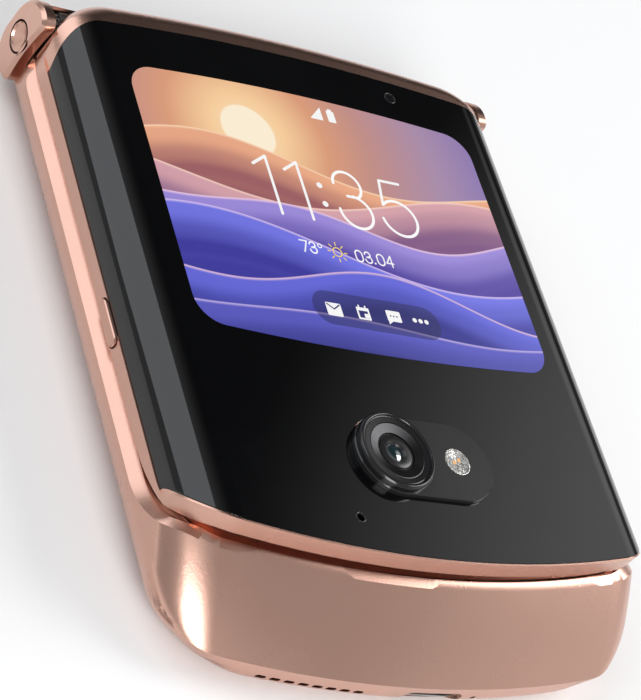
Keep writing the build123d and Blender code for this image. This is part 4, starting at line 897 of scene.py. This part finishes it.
class PHONE_OT_picture(bpy.types.Operator):
    """Build the outer screen's picture with its clock, weather line and dock."""

    bl_idname = "phone.picture"
    bl_label = "Outer Screen"

    def execute(self, context):
        finish = context.scene.phone_finish
        glow = finish.screen_glow
        half_width = (PANEL_HIGH[0] - PANEL_LOW[0]) / 2
        level = GLASS_HIGH[2] + LAYER
        outline = bowed_outline(half_width, PANEL_LOW[1], PANEL_HIGH[1], 0.0012, 0.0013, 0.004)
        mesh = from_bmesh(flat_shape(outline, level, level + LAYER), "outer_picture")
        new_object("outer_picture", mesh, self.lit("Screen Picture", glow), "lid", "outer_screen")

        # the dock's darker glass and its icons
        level += LAYER
        dock = self.lit("Dock Glass", glow, 0.40)
        draw("screen_dock", dock, level, [round_box(0.65, -0.45, 10.05, 2.55, 2.5)])
        white = self.plain_light("White Pixels", (1.0, 1.0, 1.0), 0.98 * glow)
        amber = self.plain_light("Amber Pixels", (1.0, 0.74, 0.16), 0.9 * glow)
        shade = self.plain_light("Dock Shade", (0.07, 0.065, 0.20), glow)
        level += LAYER
        self.icons(white, shade, level)
        self.clock(white, amber, level, finish.clock_stroke / MM)
        return {"FINISHED"}

    def lit(self, name, glow, dim=1.0):
        """Screen surface that shows the picture, dimmed by a factor."""
        sockets = {"Roughness": 0.05, "Base Color": (0.005, 0.005, 0.006, 1), "Emission Strength": glow}
        material, t, shader = new_material(name, sockets)
        colour = place_group(t, "Dune Picture")[0]
        if dim < 1:
            colour = t.mix(dim, (0.03, 0.03, 0.10, 1), colour)
        t.fill(shader, {"Emission Color": colour})
        return material

    def plain_light(self, name, colour, glow):
        """Lit pixels of one colour, with the screen's fine dot pattern."""
        sockets = {"Roughness": 0.1, "Base Color": (0.01, 0.01, 0.01, 1), "Emission Strength": glow}
        material, t, shader = new_material(name, sockets)
        dots = place_group(t, "Moulded Texture", {"Size": 0.00008})[0]
        low = (*[c * 0.94 for c in colour], 1)
        t.fill(shader, {"Emission Color": t.mix(dots, (*colour, 1), low)})
        return material

    def icons(self, white, shade, level):
        """Signal, battery, mail, calendar, message and more."""
        outlines = [
            [(0.4, 31.0), (2.5, 31.0), (2.5, 33.2)],
            round_box(4.05, 31.95, 0.62, 0.95, 0.15),
            round_box(4.05, 33.0, 0.32, 0.22, 0.08),
            round_box(-6.2, -0.65, 1.17, 0.98, 0.2),
            round_box(-1.6, 0.12, 0.98, 0.24, 0.1),
            round_box(-1.2, -0.85, 0.32, 0.32, 0.06),
            round_box(3.25, -0.2, 1.12, 0.82, 0.16),
            [(2.2, -1.55), (2.95, -1.0), (2.2, -0.9)],
            *[disc_outline(6.6 + 0.95 * i, -0.25, 0.34) for i in range(3)],
        ]
        calendar = [([(-2.45, -1.35), (-0.75, -1.35)], 0.26)]
        for side in (-1, 1):
            calendar.append(([(-1.6 + side * 0.85, -1.35), (-1.6 + side * 0.85, 0.25)], 0.26))
            calendar.append(([(-1.6 + side * 0.5, 0.25), (-1.6 + side * 0.5, 0.62)], 0.22))
        draw("screen_icons", white, level, outlines, calendar)
        dots = [disc_outline(2.75 + 0.5 * i, -0.2, 0.13, 10) for i in range(3)]
        flap = [(-7.15, 0.1), (-6.2, -0.6), (-5.25, 0.1)]
        draw("screen_icon_marks", shade, level + LAYER, dots, [(flap, 0.2)])

    def clock(self, white, amber, level, width):
        """Thin clock numerals, the temperature and plain numbers beside a small sun."""
        clock = [
            [(-11.9, 20.9), (-9.6, 22.5), (-9.6, 13.4)],
            [(-7.05, 20.9), (-4.75, 22.5), (-4.75, 13.4)],
            arc_points((2.75, 20.3), 2.2, 180, -55, 26) + [(3.4, 18.5), (2.25, 18.5)],
            arc_points((2.9, 16.0), 2.6, 84, -183, 32),
            [(11.9, 22.35), (8.65, 22.35)] + arc_points((10.1, 16.35), 2.85, 138, -172, 36),
        ]
        lines = [(line, width) for line in clock]
        for x, sign in ((-8.3, "7"), (-6.95, "3"), (0.3, "0"), (1.75, "3"), (3.75, "0"), (5.2, "4")):
            for line in NUMERALS[sign]:
                lines.append(([(x + px * 1.08, 7.85 + py * 1.08) for px, py in line], 0.2))
        lines.append((disc_outline(-5.25, 9.2, 0.3, 14) + [(-4.95, 9.2)], 0.14))
        dots = [disc_outline(-1.95, y, 0.45) for y in (19.4, 16.4)]
        draw("screen_clock", white, level, dots + [disc_outline(3.2, 7.95, 0.15, 10)], lines)
        ring = disc_outline(-2.6, 8.7, 0.68, 22)
        lines = [(ring + ring[:1], 0.17)]
        for a in (pi * i / 4 for i in range(8)):
            lines.append(([(-2.6 + r * cos(a), 8.7 + r * sin(a)) for r in (1.05, 1.5)], 0.16))
        draw("screen_sun", amber, level, [], lines)


# ------------------------------------------------------------------ camera


class PHONE_OT_camera_set(bpy.types.Operator):
    """Build the camera's ring and lens, the flash and the small rims in the glass."""

    bl_idname = "phone.camera_set"
    bl_label = "Camera And Flash"

    def execute(self, context):
        dark = gloss_material("Camera Ring Black", (0.010, 0.010, 0.011), 0.16)
        plate = gloss_material("Camera Plate", (0.014, 0.014, 0.0145), 0.12)
        finish_node("camera_plate", plate, "lid", "camera_black")

        spot = centre_of("camera_ring")[:2]
        top, neck = RING_HIGH[2] / MM, RING_LOW[2] / MM
        foot = PLATE_HIGH[2] / MM + 0.01
        outer = (RING_HIGH[0] - RING_LOW[0]) / 2 / MM
        profile = [
            (3.3, neck), (4.45, neck), (4.45, foot), (outer, foot), (outer, top - 0.42),
            (outer - 0.04, top - 0.30), (outer - 0.14, top - 0.16), (outer - 0.22, top - 0.05),
            (outer - 0.30, top - 0.01), (outer - 0.40, top), (outer - 0.50, top - 0.03),
            (outer - 0.56, top - 0.12), (outer - 0.60, top - 0.24), (outer - 0.72, top - 0.26),
            (outer - 0.80, top - 0.22), (3.9, top - 0.26), (3.9, foot + 0.04), (3.3, foot + 0.04),
        ]
        turned_piece("camera_ring_turned", profile, spot, dark, "ring_black", ["camera_ring"])

        # funnel of the lens, turned so that light lies across it in two fans
        spun = turned_metal("Spun Funnel", (0.085, 0.085, 0.088), 0.34, 0.5, 0.75, "Z")
        profile = [
            (3.86, foot + 0.06), (3.86, top - 0.30), (3.78, top - 0.27), (2.62, top - 0.52),
            (2.56, top - 0.70), (2.30, top - 0.70), (2.30, foot + 0.06),
        ]
        turned_piece("lens_funnel", profile, spot, spun, "camera_black")

        barrel = gloss_material("Lens Barrel", (0.018, 0.018, 0.019), 0.22, 0.4)
        profile = [
            (2.28, foot + 0.06), (2.28, top - 0.56), (2.2, top - 0.52), (1.5, top - 0.52),
            (1.42, top - 0.58), (1.3, top - 0.70), (1.24, top - 0.70), (1.16, top - 0.80),
            (1.16, foot + 0.06),
        ]
        turned_piece("lens_barrel", profile, spot, barrel, "camera_black", segments=96)

        sockets = {"Roughness": 0.02, "Coat Weight": 1.0, "Coat Roughness": 0.01}
        sockets |= {"Specular IOR Level": 1.0, "IOR": 1.9}
        lens_painted_reflection, t, shader = new_material("Coated Lens Painted Reflection", sockets)
        # the base colour runs from dark teal to violet as the view grazes the lens: a painted reflection of
        # its coating
        facing = t.add("ShaderNodeLayerWeight", {"Blend": 0.35}).outputs["Facing"]
        tints = [(0.0, (0.004, 0.010, 0.012)), (0.45, (0.010, 0.035, 0.040)), (1.0, (0.05, 0.04, 0.09))]
        t.fill(shader, {"Base Color": t.ramp(facing, tints)})
        radius, rim, crown = 1.15, top - 0.95, 0.28
        profile = [(0.0, foot + 0.07), (radius, foot + 0.07)]
        for a in range(60, 0, -6):
            height = rim + crown * (cos(radians(a)) - 0.5) / 0.5
            profile.append((radius * sin(radians(a)) / sin(radians(60)), height))
        profile.append((0.0, rim + crown))
        turned_piece("front_lens", profile, spot, lens_painted_reflection, "lens_glass", ["camera_lens"], 72, False, 40)

        self.flash()
        z = GLASS_HIGH[2] / MM
        for name, spot, radius in (
            ("mic_rim", (-12.3 * MM, -30.75 * MM), 0.62),
            ("sensor_rim", centre_of("light_sensor")[:2], 0.82),
        ):
            profile = [
                (radius, z - 0.05), (radius + 0.10, z), (radius + 0.06, z + 0.05),
                (radius - 0.04, z + 0.05), (radius - 0.10, z), (radius - 0.10, z - 0.3),
            ]
            turned_piece(name, profile, spot, dark, "ring_black", segments=48, angle=60)
        return {"FINISHED"}

    def flash(self):
        """Faceted flash lens with painted glints on its facets, over its two yellow emitters."""
        low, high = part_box("flash_lens")
        x, y = centre_of("flash_lens")[:2]
        radius = (high[0] - low[0]) / 2 / MM
        z = high[2] / MM
        lens, t, shader = new_material("Flash Lens Painted Glints", {"Metallic": 0.55})
        point = object_point(t)
        cells = t.add("ShaderNodeTexVoronoi", {"Vector": point, "Scale": 2400.0}, feature="F1").outputs[0]
        fine = t.add("ShaderNodeTexNoise", {"Vector": point, "Scale": 5200.0}).outputs[0]
        # each facet is light in its middle and dark towards its edges: painted glints of the faceted
        # reflector
        tints = [(0.0, (0.80, 0.79, 0.76)), (0.45, (0.42, 0.42, 0.42)), (0.8, (0.10, 0.10, 0.11))]
        tint = t.mix(t.step(fine, 0.4, 0.65), t.ramp(cells, tints), (0.70, 0.68, 0.64, 1))
        t.fill(shader, {"Base Color": tint, "Roughness": t.step(fine, 0.3, 0.7, 0.12, 0.4)})
        bump(t, shader, cells, 0.7, 0.0001)
        facets, rim = 9, 0.22
        profile = [(0.0, z - 0.2)]
        for i in range(facets):
            r = (radius - rim) * (i + 1) / facets
            profile += [(r - 0.08, z - 0.12), (r, z - 0.17)]
        profile += [(radius - 0.2, z - 0.05), (radius - 0.12, z), (radius - 0.03, z - 0.02)]
        profile += [(radius - 0.02, low[2] / MM), (0.0, low[2] / MM)]
        turned_piece("flash_facets", profile, (x, y), lens, "lens_glass", ["flash_lens"], 64, False, 25)
        glow = plain_material("Emitter Yellow", (0.85, 0.48, 0.20), 0.4, size=0.0002)
        bm = bmesh.new()
        for dx, dy in ((-0.45, -0.1), (0.35, 0.3)):
            outline = in_mm(round_box(x / MM + dx, y / MM + dy, 0.26, 0.26, 0.1))
            flat_shape(outline, high[2] - 0.00013, high[2] - 0.00009, bm)
        new_object("flash_emitters", from_bmesh(bm, "flash_emitters"), glow, "lid", "led_yellow")


# ------------------------------------------------------------------ folding screen


class PHONE_OT_folding_screen(bpy.types.Operator):
    """Build the part of the inner screen that bends, as two halves in the closed pose."""

    bl_idname = "phone.folding_screen"
    bl_label = "Folding Screen"

    def execute(self, context):
        # half the closed bend from the flat screen on: a straight leg, a flare and the bulb
        half_thick, bulb, flare = 0.275, 2.3, 8.0
        low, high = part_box("screen_bend")
        middle = (low[2] + high[2]) / 2 / MM
        start = low[1] / MM
        bulb_y = high[1] / MM - bulb - half_thick
        leg = middle - centre_of("screen_base")[2] / MM
        tilt = acos((leg + flare) / (flare + bulb))
        flare_y = bulb_y - (flare + bulb) * sin(tilt)
        path = [(start + (flare_y - start) * i / 3, leg, 0.0) for i in range(3)]
        for a in (tilt * i / 12 for i in range(13)):
            path.append((flare_y + flare * sin(a), leg + flare - flare * cos(a), a))
        for a in ((pi / 2 + tilt) * (1 - i / 32) for i in range(1, 33)):
            path.append((bulb_y + bulb * cos(a), bulb * sin(a), a - pi / 2))
        near, far = (0, 0.038, 0.008), (0, 0.0482, 0.008)
        for sign, name, first, second, begin, end, stands_for in (
            (-1, "base", "base", "spine", near, far, ["screen_bend"]),
            (1, "lid", "spine", "lid", far, near, []),
        ):
            mesh = self.half(f"screen_fold_{name}", path, half_thick, high[0], middle, sign)
            piece = link_piece(mesh.name, mesh, bpy.data.materials["Flexible Screen"])
            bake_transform(piece)
            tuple(begin)
            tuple(end)
            if stands_for:
                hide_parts(*stands_for)
        return {"FINISHED"}

    def half(self, name, path, half_thick, width, middle, sign):
        """Mesh of the half of the bend on one side of the middle, along a path of (y, height, slope)."""
        bm = bmesh.new()
        rings = []
        for y, h, slope in path:
            ny, nh = -sin(slope) * half_thick, cos(slope) * half_thick
            corners = ((-width, -1), (width, -1), (width, 1), (-width, 1))
            places = [(x, (y + k * ny) * MM, (middle + sign * (h + k * nh)) * MM) for x, k in corners]
            rings.append([bm.verts.new(place) for place in places])
        for a, b in zip(rings, rings[1:]):
            for i in range(4):
                bm.faces.new((a[i - 1], a[i], b[i], b[i - 1]))
        bm.faces.new(rings[0][::-1])
        bm.faces.new(rings[-1])
        return from_bmesh(bm, name, 40)


# ------------------------------------------------------------------ everything else


class PHONE_OT_hidden_parts(bpy.types.Operator):
    """Give every CAD node that stays its own finish."""

    bl_idname = "phone.hidden_parts"
    bl_label = "Inner Parts"

    def execute(self, context):
        rose = bpy.data.materials["Rose Metal"]
        bright = metal_material("Plated Steel", (0.62, 0.61, 0.60), 0.25)
        black = gloss_material("Black Window", (0.006, 0.006, 0.007), 0.05)
        screen = gloss_material("Flexible Screen", (0.004, 0.004, 0.005), 0.10, 0.5, 0.3)
        moulded = plain_material("Black Moulding", (0.018, 0.018, 0.019), 0.5)
        finishes = {
            "hinge_steel": metal_material("Hinge Steel", (0.36, 0.34, 0.33), 0.32),
            "magnesium": metal_material("Cast Plate", (0.42, 0.42, 0.43), 0.45),
            "back_glass": gloss_material("Back Cover", (0.008, 0.008, 0.010), 0.08),
            "battery_wrap": plain_material("Battery Film", (0.03, 0.03, 0.034), 0.35, size=0.002),
            "board_green": plain_material("Circuit Board", (0.01, 0.09, 0.05), 0.4, size=0.0008),
            "led_yellow": plain_material("Phosphor", (0.85, 0.62, 0.12), 0.55),
        }
        for finish, slots in (
            (rose, ("rose_metal", "keys")),
            (bright, ("screw_steel", "port_steel")),
            (black, ("sensor_black", "camera_black", "ring_black", "lens_glass", "cover_glass")),
            (screen, ("inner_screen", "outer_screen")),
            (moulded, ("bezel_black", "module_black")),
        ):
            finishes.update(dict.fromkeys(slots, finish))
        for entry in frame["record"]["subparts"]:
            for slot in frame["nodes"][entry["node"]].material_slots:
                slot.material = finishes[entry["material_slot"]]
        return {"FINISHED"}


class PHONE_OT_ports(bpy.types.Operator):
    """Add the charging port's contacts and the cloth behind the speaker's holes."""

    bl_idname = "phone.ports"
    bl_label = "Port And Speaker"

    def execute(self, context):
        low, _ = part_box("usb_c_port")
        x, _, z = [v / MM for v in centre_of("usb_c_port")]
        y = low[1] / MM + 2.1
        gold = metal_material("Contact Gold", (0.90, 0.62, 0.28), 0.22)
        step, contact = (0.5, 0, 0), (0.26, 1.7, 0.03)
        for name, level in (("upper", z + 0.36), ("lower", z - 0.36)):
            start = (x - 2.75, y, level)
            bar_row(f"port_contacts_{name}", "base", "port_steel", gold, 12, start, step, contact)
        cloth = plain_material("Speaker Cloth", (0.02, 0.02, 0.022), 0.6, 0.4, 0.00012, 0.8)
        first_hole, step, patch = (-7.9, -43.6, 2.2), (-1.94, 0, 0), (1.34, 0.1, 0.69)
        bar_row("speaker_cloth", "base", "module_black", cloth, 8, first_hole, step, patch)
        return {"FINISHED"}


# ------------------------------------------------------------------ stage


def area_lamp(name, place, size, power, roll, colour):
    """Rectangular soft lamp aimed at the phone and rolled about its beam."""
    lamp = bpy.data.lights.new(name, "AREA")
    lamp.shape = "RECTANGLE"
    lamp.size, lamp.size_y = size
    lamp.energy = power
    lamp.color = colour
    holder = bpy.data.objects.new(name, lamp)
    bpy.context.scene.collection.objects.link(holder)
    holder.location = place
    aim = Vector((0, 0, 0.01)) - Vector(place)
    holder.rotation_euler = (aim.to_track_quat("-Z", "Y") @ Quaternion((0, 0, 1), roll)).to_euler()


class PHONE_OT_stage(bpy.types.Operator):
    """Set up the floor, lamps, background and camera."""

    bl_idname = "phone.stage"
    bl_label = "Studio"

    def execute(self, context):
        scene = context.scene
        stage = scene.phone_stage
        bm = bmesh.new()
        bmesh.ops.create_grid(bm, x_segments=1, y_segments=1, size=4)
        sockets = {"Roughness": 0.9, "Base Color": (*stage.floor_colour, 1), "Specular IOR Level": 0.0}
        pale = new_material("Pale Floor", sockets)[0]
        floor = link_piece("studio_floor", from_bmesh(bm, "studio_floor", outward=False), pale)

        # an even room with more light from the right, less behind the glass, and a small bright spot
        world = bpy.data.worlds.new("Studio World")
        scene.world = world
        world.use_nodes = True
        t = Tree(world.node_tree)
        way = t.add("ShaderNodeTexCoord").outputs["Generated"]
        level = stage.world_level
        for direction, wide, narrow, amount in (
            ((0.90, -0.40, 0.15), 0.80, 0.99, stage.side_level),
            ((0.597, 0.512, 0.618), 0.62, 0.94, -stage.shade_level),
            ((0.81, 0.30, 0.50), 0.94, 0.99, 1.05),
        ):
            along = t.add("ShaderNodeVectorMath", {0: way, 1: direction}, operation="DOT_PRODUCT")
            lobe = t.step(along.outputs["Value"], wide, narrow)
            level = t.plus(level, t.times(lobe, amount))
        t.fill(world.node_tree.nodes["Background"], {"Strength": level, "Color": (1, 1, 1, 1)})

        for name, place, size, power, roll, colour in (
            ("Window Lamp", (-0.60, 0.48, 0.66), (0.85, 0.85), 3.3, -35, (0.90, 0.94, 1.0)),
            ("Chin Lamp", (-0.17, -0.80, 0.48), (0.42, 0.50), 5.6, 0, (1, 1, 1)),
            ("Key Lamp", (0.80, 0.04, 0.62), (0.50, 0.50), 4.3, 0, (1, 1, 1)),
        ):
            area_lamp(name, place, size, power * stage.lamp_power, radians(roll), colour)

        camera = bpy.data.cameras.new("Camera")
        camera.lens = stage.lens
        camera.sensor_width = 36
        camera.clip_start = 0.01
        camera.clip_end = 20
        holder = bpy.data.objects.new("Camera", camera)
        scene.collection.objects.link(holder)
        right = (0.79305215, -0.25899436, 0.55135307)
        up = (-0.12228204, 0.8190027, 0.56060832)
        back = (-0.59675405, -0.51201221, 0.61784149)
        turn = Matrix((right, up, back)).transposed().to_4x4()
        holder.matrix_world = Matrix.Translation((-0.190094, -0.161408, 0.201976)) @ turn
        scene.camera = holder
        scene.view_settings.view_transform = "Standard"
        return {"FINISHED"}


# ------------------------------------------------------------------ panel and registration


class PHONE_PT_finish(bpy.types.Panel):
    """Sidebar panel with the phone's settings and build steps."""

    bl_label = "Clamshell Phone"
    bl_idname = "PHONE_PT_finish"
    bl_space_type = "VIEW_3D"
    bl_region_type = "UI"
    bl_category = "Phone"

    def draw(self, context):
        for group in (context.scene.phone_finish, context.scene.phone_stage):
            box = self.layout.box()
            for name in group.__annotations__:
                box.prop(group, name)
        for step in STEPS:
            self.layout.operator(step.bl_idname)


STEPS = (
    PHONE_OT_shells,
    PHONE_OT_glass,
    PHONE_OT_picture,
    PHONE_OT_camera_set,
    PHONE_OT_hidden_parts,
    PHONE_OT_folding_screen,
    PHONE_OT_ports,
    PHONE_OT_stage,
)
CLASSES = (PhoneFinish, PhoneStage, *STEPS, PHONE_PT_finish)


def register():
    for cls in CLASSES:
        bpy.utils.register_class(cls)
    bpy.types.Scene.phone_finish = bpy.props.PointerProperty(type=PhoneFinish)
    bpy.types.Scene.phone_stage = bpy.props.PointerProperty(type=PhoneStage)


def unregister():
    del bpy.types.Scene.phone_stage
    del bpy.types.Scene.phone_finish
    for cls in reversed(CLASSES):
        bpy.utils.unregister_class(cls)


def main():
    """Builds every piece in order."""
    register()
    make_groups()
    bpy.ops.phone.shells()
    bpy.ops.phone.glass()
    bpy.ops.phone.picture()
    bpy.ops.phone.camera_set()
    bpy.ops.phone.hidden_parts()
    bpy.ops.phone.folding_screen()
    bpy.ops.phone.ports()
    bpy.ops.phone.stage()


if __name__ == "__main__":
    main()
